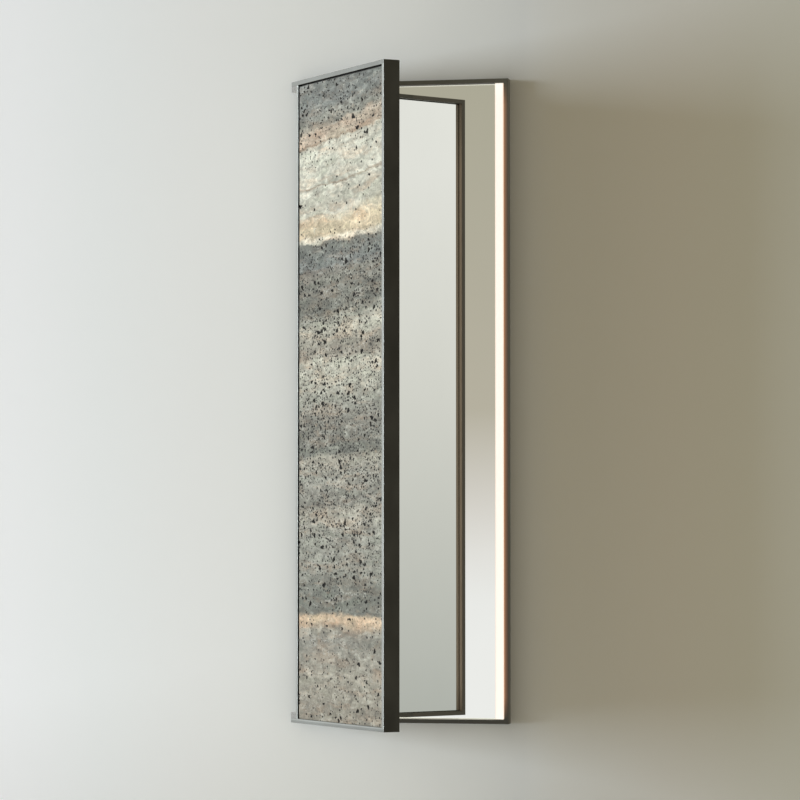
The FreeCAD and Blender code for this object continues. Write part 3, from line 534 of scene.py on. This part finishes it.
def circuit_board():
    """Green solder mask with the faint lines of its copper."""
    material, nodes, shader = new_material("circuit_board")
    lines = nodes.own_noise(unstretched, 160.0, 1.0)
    tone = nodes.mix(nodes.span(lines, 0.48, 0.52), linear(24, 78, 46), linear(34, 96, 58))
    set_shader(nodes, shader, Base_Color=tone, Roughness=nodes.span(lines, 0.4, 0.6, 0.25, 0.35))
    return material


# Colours of the stone
slate = linear(129, 131, 127)
dusk = linear(118, 118, 110)
taupe = linear(136, 133, 124)
ash = linear(151, 149, 139)
fawn = linear(161, 155, 142)
sand = linear(180, 177, 163)
milk = linear(206, 203, 188)
chalk = linear(211, 208, 193)
ivory = linear(228, 221, 202)
straw = linear(209, 193, 165)
dune = linear(192, 188, 173)
clay = linear(188, 172, 154)
peach = linear(206, 182, 155)
umber = linear(146, 128, 108)
loam = linear(150, 144, 132)
calcite_white = linear(206, 205, 193)
clay_stain = linear(166, 140, 114)
vein_brown = linear(112, 102, 88)
vein_white = linear(226, 226, 218)
pit_brown = linear(118, 108, 96)
pit_black = linear(20, 20, 18)

# Strata of the slab's upper part from the top down: a share of its height, and the colour there
strata_shares = (
    (0.040, slate),
    (0.066, ash),
    (0.078, clay),
    (0.096, clay),
    (0.099, umber),
    (0.102, milk),
    (0.134, milk),
    (0.164, milk),
    (0.167, umber),
    (0.171, chalk),
    (0.188, sand),
    (0.208, dune),
    (0.226, straw),
    (0.244, straw),
    (0.250, ivory),
    (0.2535, ivory),
    (0.256, dusk),
    (0.285, slate),
    (0.300, slate),
    (0.306, taupe),
    (0.365, dusk),
    (0.398, dune),
    (0.418, loam),
    (0.436, loam),
    (0.440, dune),
    (0.478, sand),
    (0.512, ash),
    (0.540, taupe),
    (0.588, dusk),
    (0.592, fawn),
    (0.620, ash),
)

# Strata of the slab's lower part
low_strata_shares = (
    (0.620, ash),
    (0.667, taupe),
    (0.671, fawn),
    (0.710, ash),
    (0.762, ash),
    (0.790, dusk),
    (0.835, dusk),
    (0.8385, peach),
    (0.846, peach),
    (0.860, loam),
    (0.878, taupe),
    (0.935, fawn),
    (0.970, loam),
)

# How far the wavy layers swing in brightness over the stone's height
swing_shares = (
    (0.00, 0.42),
    (0.10, 0.42),
    (0.12, 0.28),
    (0.33, 0.28),
    (0.37, 0.20),
    (1.00, 0.20),
)

# How thickly pits lie over the stone's height
pit_density_shares = (
    (0.00, 0.4),
    (0.03, 0.6),
    (0.09, 0.5),
    (0.11, 0.22),
    (0.14, 0.1),
    (0.24, 0.1),
    (0.27, 0.6),
    (0.33, 0.9),
    (0.50, 0.95),
    (0.62, 1.0),
    (0.79, 0.7),
    (0.82, 0.4),
    (0.84, 0.2),
    (1.00, 0.35),
)

# Noises of the stone: stretch of its coordinates, scale, detail, roughness and distortion
waver_noise = ((1.0, 1.0, 2.2), 13.0, 8.0, 0.66)
mottle_noise = ((1.0, 1.0, 1.8), 34.0, 5.0, 0.62, 1.0)
grain_noise = ((1.0, 1.0, 1.15), 170.0, 5.0, 0.7)
calcite_noise = ((1.0, 1.0, 1.7), 36.0, 8.0, 0.74, 0.8)
stain_noise = ((1.0, 1.0, 2.2), 32.0, 7.0, 0.7)
patch_noise = ((1.0, 1.0, 2.2), 17.0, 5.0, 0.6)
wander_noise = (unstretched, 380.0, 2.0)

# Wavy layers: stretch across and down the strata, and their noises' scale and further settings as above
wide_stretch = (3.6, 36.0)
thin_stretch = (12.0, 120.0)
layers_noise = (1.0, 7.0, 0.66, 0.7)
lamina_noise = (1.0, 3.0, 0.6, 0.9)
tint_noise = (1.7, 6.0, 0.62, 0.6)

# Brightness and cover that the noises give: their low and high value, and the level at each
lamina_levels = (0.3, 0.7, 0.86, 1.15)
mottle_levels = (0.28, 0.72, 0.5, 1.56)
grain_levels = (0.28, 0.72, 0.8, 1.2)
tone_levels = (0.0, 2.0, 0.1, 1.9)
calcite_levels = (0.56, 0.68, 0.0, 0.6)
stain_levels = (0.57, 0.74, 0.0, 0.5)

# Pits: how the patch noise thins them out, and how their black floors and brown rims set in
patch_levels = (0.36, 0.6, 0.15, 1.0)
pit_floor_levels = (-0.1, 0.06)
pit_rim_levels = (-0.5, 0.0, 0.0, 0.3)
pit_cover = 0.96

# Brown and white veins: the layers' value along them and their width there, and how much they cover.
# White veins fade in between two values of the tint noise.
brown_vein = (0.46, 0.008)
brown_vein_cover = 0.5
white_vein = (0.58, 0.007)
white_vein_cover = 0.6
white_vein_tint = (0.45, 0.55)

# Tints of the layers: the tint noise's values from none to full, and the factors on red, green and blue
pink_levels = (0.5, 0.68)
pink_tint = (1.10, 0.96, 0.88)
green_levels = (0.48, 0.34)
green_tint = (0.96, 0.99, 0.96)


def small_pits(nodes, flat, cells, density):
    """Round pits of many sizes, in a share of the cells of a random pattern."""
    pattern = nodes.add("ShaderNodeTexVoronoi", {"Vector": flat, "Scale": cells}, voronoi_dimensions="2D")
    cell = pattern.outputs
    chance = nodes.add("ShaderNodeSeparateColor", {"Color": cell["Color"]}).outputs
    radius = nodes.span(chance["Green"], 0.0, 1.0, *small_pit_shares)
    inner = nodes.product(radius, small_pit_floor_share)
    open_share = nodes.span(cell["Distance"], radius, inner)
    return nodes.product(open_share, nodes.math("LESS_THAN", chance["Red"], density))


def thin_lines(nodes, field, middle, width):
    """One where a field is near a value, which makes wavy lines."""
    away = nodes.math("ABSOLUTE", nodes.math("SUBTRACT", field, middle))
    return nodes.span(away, width, 0.0)


def travertine():
    """Vein-cut travertine: strata by height, wavy layers, mottling, stains, veins and open pits."""
    material, nodes, shader = new_material("vein_cut_travertine")
    layer = nodes.attribute("layer")
    place = nodes.parts(nodes.place())
    waver = nodes.own_noise(*waver_noise)
    waver = nodes.span(waver, 0.25, 0.75, -strata_waver_share, strata_waver_share)
    height = nodes.math("ADD", layer, waver)
    tone = nodes.ramp(height, *strata_shares)
    low_part = nodes.math("GREATER_THAN", height, low_strata_shares[0][0])
    tone = nodes.mix(low_part, tone, nodes.ramp(height, *low_strata_shares))

    # Wavy layers of two thicknesses follow the strata, and clouds and grains lie over them
    across = place["X"]
    wide, thin = (
        nodes.vector(nodes.product(across, sideways), nodes.product(height, downward))
        for sideways, downward in (wide_stretch, thin_stretch)
    )
    layers = nodes.noise(wide, *layers_noise)
    lamina = nodes.noise(thin, *lamina_noise)
    mottle = nodes.own_noise(*mottle_noise)
    grain = nodes.own_noise(*grain_noise)
    swing = nodes.product(nodes.span(layers, 0.3, 0.7, -1.0, 1.0), nodes.ramp(layer, *swing_shares))
    level = nodes.math("ADD", swing, 1.0)
    for noise, levels in ((lamina, lamina_levels), (mottle, mottle_levels), (grain, grain_levels)):
        level = nodes.product(level, nodes.span(noise, *levels))
    tone = nodes.scaled(tone, nodes.span(level, *tone_levels))

    # Pink and green tints, milky calcite, clay stains, and brown and white veins
    tint = nodes.noise(wide, *tint_noise)
    for levels, factors in ((pink_levels, pink_tint), (green_levels, green_tint)):
        tone = nodes.mix(nodes.span(tint, *levels), tone, nodes.tinted(tone, factors))
    calcite = nodes.span(nodes.own_noise(*calcite_noise), *calcite_levels)
    tone = nodes.mix(calcite, tone, calcite_white)
    stain = nodes.span(nodes.own_noise(*stain_noise), *stain_levels)
    tone = nodes.mix(stain, tone, clay_stain)
    vein = nodes.product(thin_lines(nodes, layers, *brown_vein), brown_vein_cover)
    tone = nodes.mix(vein, tone, vein_brown)
    vein = nodes.product(thin_lines(nodes, layers, *white_vein), nodes.span(tint, *white_vein_tint))
    tone = nodes.mix(nodes.product(vein, white_vein_cover), tone, vein_white)

    # Pits of three sizes, the largest of them sunk in the mesh
    density = nodes.ramp(layer, *pit_density_shares)
    patch = nodes.own_noise(*patch_noise)
    density = nodes.product(density, nodes.span(patch, *patch_levels))
    wander = nodes.own_noise(*wander_noise)
    sideways = nodes.span(wander, 0.0, 1.0, -small_pit_wander, small_pit_wander)
    upward = nodes.span(wander, 0.0, 1.0, small_pit_rise, -small_pit_rise)
    flat = nodes.vector(
        nodes.math("ADD", place["X"], sideways),
        nodes.product(nodes.math("ADD", place["Z"], upward), small_pit_flatness),
    )
    fine = small_pits(nodes, flat, fine_pit_cells, nodes.product(density, fine_pit_share))
    middle = small_pits(nodes, flat, middle_pit_cells, nodes.product(density, middle_pit_share))
    small = nodes.math("MAXIMUM", fine, middle)
    sunk = nodes.span(nodes.attribute("pit"), *pit_floor_levels)
    pit = nodes.math("MAXIMUM", small, sunk)
    rim = nodes.span(nodes.attribute("pit"), *pit_rim_levels)
    tone = nodes.mix(rim, tone, pit_brown)
    tone = nodes.mix(nodes.product(pit, pit_cover), tone, pit_black)

    roughness = nodes.span(mottle, 0.3, 0.7, 0.55, 0.75)
    normal = nodes.bump(grain, stone_grain_depth, 0.35)
    normal = nodes.bump(nodes.math("SUBTRACT", 1.0, small), stone_pit_depth, 0.7, normal)
    set_shader(nodes, shader, Base_Color=tone, Roughness=roughness, Normal=normal, Specular_IOR_Level=0.2)
    return material


def dress_nodes():
    """Gives each material slot of the frame its material."""
    looks = {
        "dark_frame": unit_metal(),
        "mirror_glass": mirror_glass("main_silvered_glass", (0.0, -1.0, 0.0), True),
        "travertine": travertine(),
        "led_diffuser": opal_light(),
        "led_channel": brushed_metal(
            "drawn_aluminium",
            linear(196, 196, 196), linear(222, 222, 222),
            0.25, 0.38, (700.0, 700.0, 5.0),
        ),
        "led_board": moulded("white_board", linear(232, 231, 224), linear(240, 239, 233), 0.35),
        "end_cap": moulded("pale_plastic", linear(208, 208, 204), linear(216, 216, 211), 0.5),
        "panel_sheet": brushed_metal(
            "rolled_sheet",
            linear(172, 172, 170), linear(198, 198, 196),
            0.34, 0.5, (4.0, 4.0, 500.0),
        ),
        "bare_aluminium": brushed_metal(
            "extruded_aluminium",
            linear(180, 181, 182), linear(208, 208, 208),
            0.3, 0.42, (5.0, 600.0, 600.0),
        ),
        "stainless": brushed_metal(
            "brushed_stainless",
            linear(150, 149, 146), linear(186, 185, 182),
            0.2, 0.34, (160.0, 160.0, 90.0),
        ),
        "zinc_steel": brushed_metal(
            "zinc_plated_steel",
            linear(166, 170, 174), linear(196, 198, 198),
            0.3, 0.42, (300.0, 300.0, 300.0),
        ),
        "magnet_plating": brushed_metal(
            "nickel_plating",
            linear(192, 190, 186), linear(212, 210, 206),
            0.12, 0.2, (200.0, 200.0, 200.0),
        ),
        "bronze_bush": brushed_metal(
            "turned_bronze",
            linear(150, 112, 66), linear(188, 148, 94),
            0.25, 0.36, (200.0, 200.0, 900.0),
        ),
        "washer_plastic": moulded("acetal", linear(226, 225, 216), linear(236, 235, 228), 0.35),
        "mounting_tape": moulded("foam_tape", linear(206, 206, 200), linear(222, 222, 217), 0.85, 300.0),
        "setting_rubber": moulded("black_rubber", linear(24, 24, 24), linear(36, 36, 35), 0.7),
        "core_plywood": filmed_plywood(),
        "driver_shell": moulded("driver_plastic", linear(216, 216, 213), linear(226, 226, 224), 0.5),
        "driver_circuit": circuit_board(),
        "gland_plastic": moulded("black_plastic", linear(28, 28, 28), linear(40, 40, 40), 0.45),
        "lead_skin": moulded("white_sheath", linear(222, 222, 217), linear(232, 232, 228), 0.42),
    }
    door_looks = {
        "dark_frame": door_metal(),
        "mirror_glass": mirror_glass("door_silvered_glass", door_inward),
    }
    door_nodes = frame["record"]["behaviour"]["bodies"]["door"]
    slots = {part["node"]: part["material_slot"] for part in frame["record"]["subparts"]}
    for name, piece in frame["nodes"].items():
        look = looks[slots[name]]
        if name in door_nodes:
            look = door_looks.get(slots[name], look)
        piece.data.materials.clear()
        piece.data.materials.append(look)
    return looks


# Stone slab
def share_at(table, places):
    """A table's values at places between its rows."""
    return np.interp(places, [place for place, _ in table], [value for _, value in table])


def slow_noise(dice, columns, rows, across, along):
    """A smooth random field over the slab, from a coarse grid of random heights."""
    coarse = dice.standard_normal((along + 3, across + 3))
    x = np.linspace(0.0, across, columns)
    z = np.linspace(0.0, along, rows)

    def weights(places):
        low = np.floor(places).astype(int)
        share = places - low
        return low, share * share * (3 - 2 * share)

    column, right = weights(x)
    row, up = weights(z)
    top = coarse[row][:, column] * (1 - right) + coarse[row][:, column + 1] * right
    bottom = coarse[row + 1][:, column] * (1 - right) + coarse[row + 1][:, column + 1] * right
    return top * (1 - up[:, None]) + bottom * up[:, None]


def waves(dice, columns, rows, table):
    """The sum of smooth random fields of several sizes."""
    return sum(size * slow_noise(dice, columns, rows, across, along) for size, across, along in table)


# How much higher the strata lie at the slab's right edge, and how far they sag in its middle
rise_shares = (
    (0.00, 0.021),
    (0.12, 0.022),
    (0.17, 0.024),
    (0.24, 0.006),
    (0.26, 0.006),
    (0.30, 0.018),
    (0.36, 0.020),
    (0.43, 0.006),
    (1.00, 0.002),
)
sag_shares = ((0.00, 0.005), (0.18, 0.005), (0.26, 0.000), (1.00, 0.000))


def stone_fields():
    """The slab's grid: its places, and each point's depth, share down the strata and reach into a pit."""
    dice = np.random.default_rng(slab_seed)
    width = slab_right - slab_left
    height = slab_top - slab_bottom
    columns = round(width / slab_step) + 1
    rows = round(height / slab_step) + 1
    x = np.linspace(slab_left, slab_right, columns)
    z = np.linspace(slab_top, slab_bottom, rows)
    across = (x - slab_left) / width
    down = (slab_top - z) / height
    layer = down[:, None] + share_at(rise_shares, down)[:, None] * across[None, :]
    layer -= share_at(sag_shares, down)[:, None] * np.sin(math.pi * across)[None, :]
    layer += waves(dice, columns, rows, strata_wave_shares)

    depth = waves(dice, columns, rows, face_waves)
    pit = np.full((rows, columns), -1.0)
    patches = slow_noise(dice, columns, rows, *pit_patches)
    made = []
    while len(made) < pit_count:
        aside, below = dice.random(2)
        local = patches[int(below * (rows - 1)), int(aside * (columns - 1))]
        size = min(pit_radius * np.exp(pit_spread * dice.standard_normal()), pit_largest)
        wide = size * dice.uniform(*pit_width_shares)
        tall = size * dice.uniform(*pit_height_shares)
        turns = dice.uniform(0, 2 * math.pi, len(pit_edge_shares))
        chance = share_at(pit_density_shares, below) * np.clip((1 + local) / 2, pit_patch_least_share, 1)
        if dice.random() > chance:
            continue
        centre = (aside * width, below * height)
        if crowded(made, centre, size):
            continue
        made.append((centre, size))
        cell = (aside * (columns - 1), below * (rows - 1))
        carve(depth, pit, cell, (wide / slab_step, tall / slab_step), turns)
    return x, z, depth, layer, pit


def crowded(made, centre, size):
    """Whether a new pit would lie too close to one made before."""
    return any(math.dist(centre, other) < pit_room * (size + reach) for other, reach in made)


def carve(depth, pit, centre, radii, turns):
    """Sinks one irregular pit into the slab's grid."""
    rows, columns = depth.shape
    column, row = centre
    wide, tall = radii
    reach = pit_reach_share * max(wide, tall) + 2
    left = max(0, int(column - reach))
    right = min(columns, int(column + reach) + 2)
    top = max(0, int(row - reach))
    bottom = min(rows, int(row + reach) + 2)
    across = (np.arange(left, right) - column)[None, :] / wide
    along = (np.arange(top, bottom) - row)[:, None] / tall
    angle = np.arctan2(along, across)
    edge = 1.0
    for (order, size), turn in zip(pit_edge_shares, turns):
        edge = edge + size * np.sin(order * angle + turn)
    inside = np.clip(edge - np.hypot(across, along), -1.0, 1.0)
    sunk = np.clip(inside / pit_wall_share, 0.0, 1.0)
    deep = min(tall * slab_step * pit_depth_share, pit_deepest)
    window = (slice(top, bottom), slice(left, right))
    depth[window] = np.maximum(depth[window], deep * sunk * sunk * (3 - 2 * sunk))
    pit[window] = np.maximum(pit[window], inside)


def make_stone(look):
    """The door's stone face: a slab with real pits, ground edges and a flat back."""
    x, z, depth, layer, pit = stone_fields()
    rows, columns = depth.shape
    border = np.zeros_like(depth)
    border[0, :] = border[-1, :] = slab_arris
    border[:, 0] = border[:, -1] = slab_arris
    grid_x, grid_z = np.meshgrid(x, z)
    grid_y = slab_front + np.maximum(depth, border)
    front = np.stack([grid_x, grid_y, grid_z], axis=-1).reshape(-1, 3)
    index = np.arange(rows * columns).reshape(rows, columns)
    loop = np.concatenate([index[0, :], index[1:, -1], index[-1, -2::-1], index[-2:0:-1, 0]])
    back = front[loop].copy()
    back[:, 1] = slab_back
    points = np.concatenate([front, back])
    corners = [index[:-1, :-1], index[1:, :-1], index[1:, 1:], index[:-1, 1:]]
    quads = np.stack(corners, axis=-1).reshape(-1, 4)
    behind = rows * columns + np.arange(len(loop))
    sides = np.stack([loop, np.roll(loop, -1), np.roll(behind, -1), behind], axis=-1)
    faces = quads.tolist() + sides.tolist() + [behind[::-1].tolist()]
    mesh = bpy.data.meshes.new("travertine_slab")
    mesh.from_pydata(points.tolist(), [], faces)
    mesh.update()
    for name, field in (("layer", layer), ("pit", pit)):
        values = np.concatenate([field.reshape(-1), field.reshape(-1)[loop]]).astype(np.float32)
        mesh.attributes.new(name, "FLOAT", "POINT").data.foreach_set("value", values)
    smooth = np.zeros(len(mesh.polygons), bool)
    smooth[: len(quads)] = True
    mesh.polygons.foreach_set("use_smooth", smooth)
    mesh.materials.append(look)
    slab = bpy.data.objects.new("travertine_slab", mesh)
    bpy.context.scene.collection.objects.link(slab)
    turn = Matrix.Rotation(-open_angle, 4, "Z")
    slab.matrix_world = Matrix.Translation(pivot) @ turn @ Matrix.Translation(-pivot)
    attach(slab, "door")
    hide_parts("stone_slab")
    return slab


# Wall's colour, painted darker toward the right as painted shade, and its painted light that only the camera sees,
# from left to right, by share of its middle 2 m
wall_tone_shares = (
    (0.0, linear(236, 238, 239)),
    (0.65, linear(236, 238, 239)),
    (0.72, linear(218, 220, 221)),
    (0.81, linear(198, 200, 201)),
    (0.97, linear(175, 177, 178)),
)
wall_light_shares = (
    (0.02, (0.240, 0.245, 0.262, 1.0)),
    (0.13, (0.200, 0.212, 0.220, 1.0)),
    (0.25, (0.180, 0.182, 0.180, 1.0)),
    (0.36, (0.160, 0.163, 0.152, 1.0)),
    (0.50, (0.115, 0.115, 0.102, 1.0)),
    (0.60, (0.045, 0.045, 0.036, 1.0)),
    (0.64, (0.010, 0.010, 0.006, 1.0)),
    (0.68, (0.040, 0.032, 0.014, 1.0)),
    (0.81, (0.118, 0.100, 0.064, 1.0)),
    (0.97, (0.165, 0.152, 0.100, 1.0)),
)

# Colours of the room that mirrors show in front and at the right, from low to high
front_shares = (
    (0.0, linear(244, 244, 242)),
    (0.42, linear(244, 244, 242)),
    (0.45, linear(242, 242, 240)),
    (0.485, linear(234, 232, 228)),
    (0.52, linear(219, 215, 208)),
    (0.585, linear(188, 182, 166)),
    (0.81, linear(178, 174, 156)),
    (1.0, linear(178, 175, 158)),
)
right_shares = (
    (0.0, linear(180, 183, 176)),
    (0.37, linear(188, 190, 184)),
    (0.6, linear(226, 225, 219)),
    (0.82, linear(248, 247, 243)),
    (1.0, linear(248, 247, 243)),
)

# Colours of the room that metal shows behind the object, from left to right
behind_shares = (
    (0.0, linear(238, 240, 238)),
    (0.35, linear(226, 226, 220)),
    (0.6, linear(138, 131, 112)),
    (1.0, linear(160, 156, 142)),
)

# Plain colours of the floor, of the background and of the dark part of the room in the mirrors
floor_colour = linear(238, 237, 232)
background_colour = linear(236, 236, 233)
dark_colour = linear(84, 82, 72)

# Where the room in the mirrors changes, by parts of the view's unit vector
rise_parts = (-0.2, 0.2)
behind_parts = (-0.05, 0.12)
right_parts = (0.955, 0.995)

# Sides of the room's dark part, to the right of the camera, and its top and bottom alike
dark_parts = (
    ("X", 0.5, 0.75),
    ("X", 0.985, 0.955),
    ("Y", 0.02, -0.12),
)
dark_height_parts = (0.55, 0.3)


# Room
def one_sided(nodes, surface):
    """Lets a camera behind the surface see through it."""
    back = nodes.add("ShaderNodeNewGeometry").outputs["Backfacing"]
    clear = nodes.add("ShaderNodeBsdfTransparent").outputs[0]
    mixed = nodes.add("ShaderNodeMixShader", {"Fac": back})
    nodes.tree.links.new(surface, mixed.inputs[1])
    nodes.tree.links.new(clear, mixed.inputs[2])
    output = nodes.tree.nodes["Material Output"]
    nodes.tree.links.new(mixed.outputs[0], output.inputs["Surface"])


def flat_sheet(name, corners, material):
    """A sheet of the room, which the object's metal and mirrors don't see: they see the world instead."""
    mesh = bpy.data.meshes.new(name)
    mesh.from_pydata(corners, [], [tuple(range(len(corners)))])
    mesh.materials.append(material)
    sheet = bpy.data.objects.new(name, mesh)
    bpy.context.scene.collection.objects.link(sheet)
    sheet.visible_glossy = False
    return sheet


def wall_shade(nodes, place, across):
    """Painted shade: how much darker the wall is painted close above, below and beside the unit."""
    above = nodes.math("SUBTRACT", place["Z"], unit_high.z)
    below = nodes.math("SUBTRACT", unit_low.z, place["Z"])
    apart = nodes.math("MAXIMUM", nodes.math("MAXIMUM", above, below), 0.0)
    aside = nodes.math("SUBTRACT", nodes.math("ABSOLUTE", place["X"]), unit_side)
    aside = nodes.math("MAXIMUM", aside, 0.0)
    over = nodes.math("EXPONENT", nodes.product(apart, -1.0 / end_shade_reach))
    over = nodes.product(over, nodes.ramp(across, *end_shade_shares))
    beside = nodes.math("ADD", aside, apart)
    beside = nodes.math("EXPONENT", nodes.product(beside, -1.0 / side_shade_reach))
    return nodes.math("MAXIMUM", over, nodes.product(beside, side_shade))


def make_room():
    """A pale wall behind the object, with painted shade near the unit, a tone painted darker toward the right and
    painted light that only the camera sees, and a plain pale floor below it.
    """
    paint, nodes, shader = new_material("wall_paint")
    place = nodes.parts(nodes.place())
    across = nodes.span(place["X"], -wall_middle, wall_middle)
    # Painted shade near the unit, on a wall tone that is painted darker toward the right
    shade = nodes.math("SUBTRACT", 1.0, wall_shade(nodes, place, across))
    tone = nodes.scaled(nodes.ramp(across, *wall_tone_shares), shade)
    # Painted light: emission by place across the wall, which only the camera sees
    lift = nodes.scaled(nodes.ramp(across, *wall_light_shares), shade)
    seen = nodes.add("ShaderNodeLightPath").outputs["Is Camera Ray"]
    set_shader(nodes, shader, Base_Color=tone, Roughness=0.9, Emission_Color=lift, Emission_Strength=seen)
    one_sided(nodes, shader.outputs[0])
    wall = flat_sheet(
        "wall",
        [
            (-wall_reach, wall_gap, floor_height),
            (wall_reach, wall_gap, floor_height),
            (wall_reach, wall_gap, wall_reach),
            (-wall_reach, wall_gap, wall_reach),
        ],
        paint,
    )
    wall.visible_diffuse = False
    wall.visible_shadow = False
    cover, nodes, shader = new_material("floor_screed")
    seen = nodes.add("ShaderNodeLightPath").outputs["Is Camera Ray"]
    set_shader(nodes, shader, Base_Color=floor_colour, Roughness=0.8, Emission_Color=floor_colour)
    set_shader(nodes, shader, Emission_Strength=nodes.product(seen, floor_light))
    one_sided(nodes, shader.outputs[0])
    flat_sheet(
        "floor",
        [
            (-wall_reach, wall_gap, floor_height),
            (-wall_reach, -floor_depth, floor_height),
            (wall_reach, -floor_depth, floor_height),
            (wall_reach, wall_gap, floor_height),
        ],
        cover,
    )


def room_in_mirrors(nodes):
    """The pale room that mirrors and metal show, by direction."""
    direction = nodes.parts(nodes.add("ShaderNodeTexCoord").outputs["Generated"])
    height = nodes.span(direction["Z"], *rise_parts)
    front = nodes.ramp(height, *front_shares)
    right = nodes.ramp(height, *right_shares)
    behind = nodes.ramp(nodes.span(direction["X"], -1.0, 1.0), *behind_shares)
    shown = nodes.mix(nodes.span(direction["Y"], *behind_parts), front, behind)
    shown = nodes.mix(nodes.span(direction["X"], *right_parts), shown, right)
    sides = [nodes.span(direction[axis], low, high) for axis, low, high in dark_parts]
    sides.append(nodes.span(nodes.math("ABSOLUTE", direction["Z"]), *dark_height_parts))
    dark = nodes.product(*sides)
    return nodes.mix(dark, shown, dark_colour)


def make_world():
    """Soft warm fill for matt surfaces, a pale background, and the room for mirrors and metal."""
    world = bpy.data.worlds.new("room_light")
    bpy.context.scene.world = world
    world.use_nodes = True
    nodes = Nodes(world.node_tree)
    path = nodes.add("ShaderNodeLightPath").outputs
    direction = nodes.parts(nodes.add("ShaderNodeTexCoord").outputs["Generated"])
    fill = nodes.mix(nodes.span(direction["X"], -1.0, 1.0), left_fill, right_fill)
    light = nodes.mix(path["Is Glossy Ray"], fill, room_in_mirrors(nodes))
    light = nodes.mix(path["Is Camera Ray"], light, background_colour)
    background = world.node_tree.nodes["Background"]
    world.node_tree.links.new(light, background.inputs["Color"])
    background.inputs["Strength"].default_value = 1.0


def make_lamp(name, place, size, power, colour, mirrored):
    """A soft lamp that is aimed at the middle of the object."""
    data = bpy.data.lights.new(name, "AREA")
    data.shape = "RECTANGLE"
    data.size, data.size_y = size
    data.energy = power
    data.color = colour
    lamp = bpy.data.objects.new(name, data)
    bpy.context.scene.collection.objects.link(lamp)
    lamp.location = place
    target = (unit_low + unit_high) / 2
    lamp.rotation_euler = (target - Vector(place)).to_track_quat("-Z", "Y").to_euler()
    lamp.visible_camera = False
    lamp.visible_glossy = mirrored


def make_camera():
    """The camera of the photo."""
    data = bpy.data.cameras.new("camera")
    data.lens = lens
    data.sensor_width = sensor
    camera = bpy.data.objects.new("camera", data)
    bpy.context.scene.collection.objects.link(camera)
    camera.location = camera_place
    camera.rotation_euler = (math.pi / 2 + camera_pitch, 0.0, camera_yaw)
    bpy.context.scene.camera = camera


looks = dress_nodes()
make_stone(looks["travertine"])
make_room()
make_world()
for lamp in lamps:
    make_lamp(*lamp)
make_camera()
bpy.context.scene.view_settings.view_transform = "Standard"
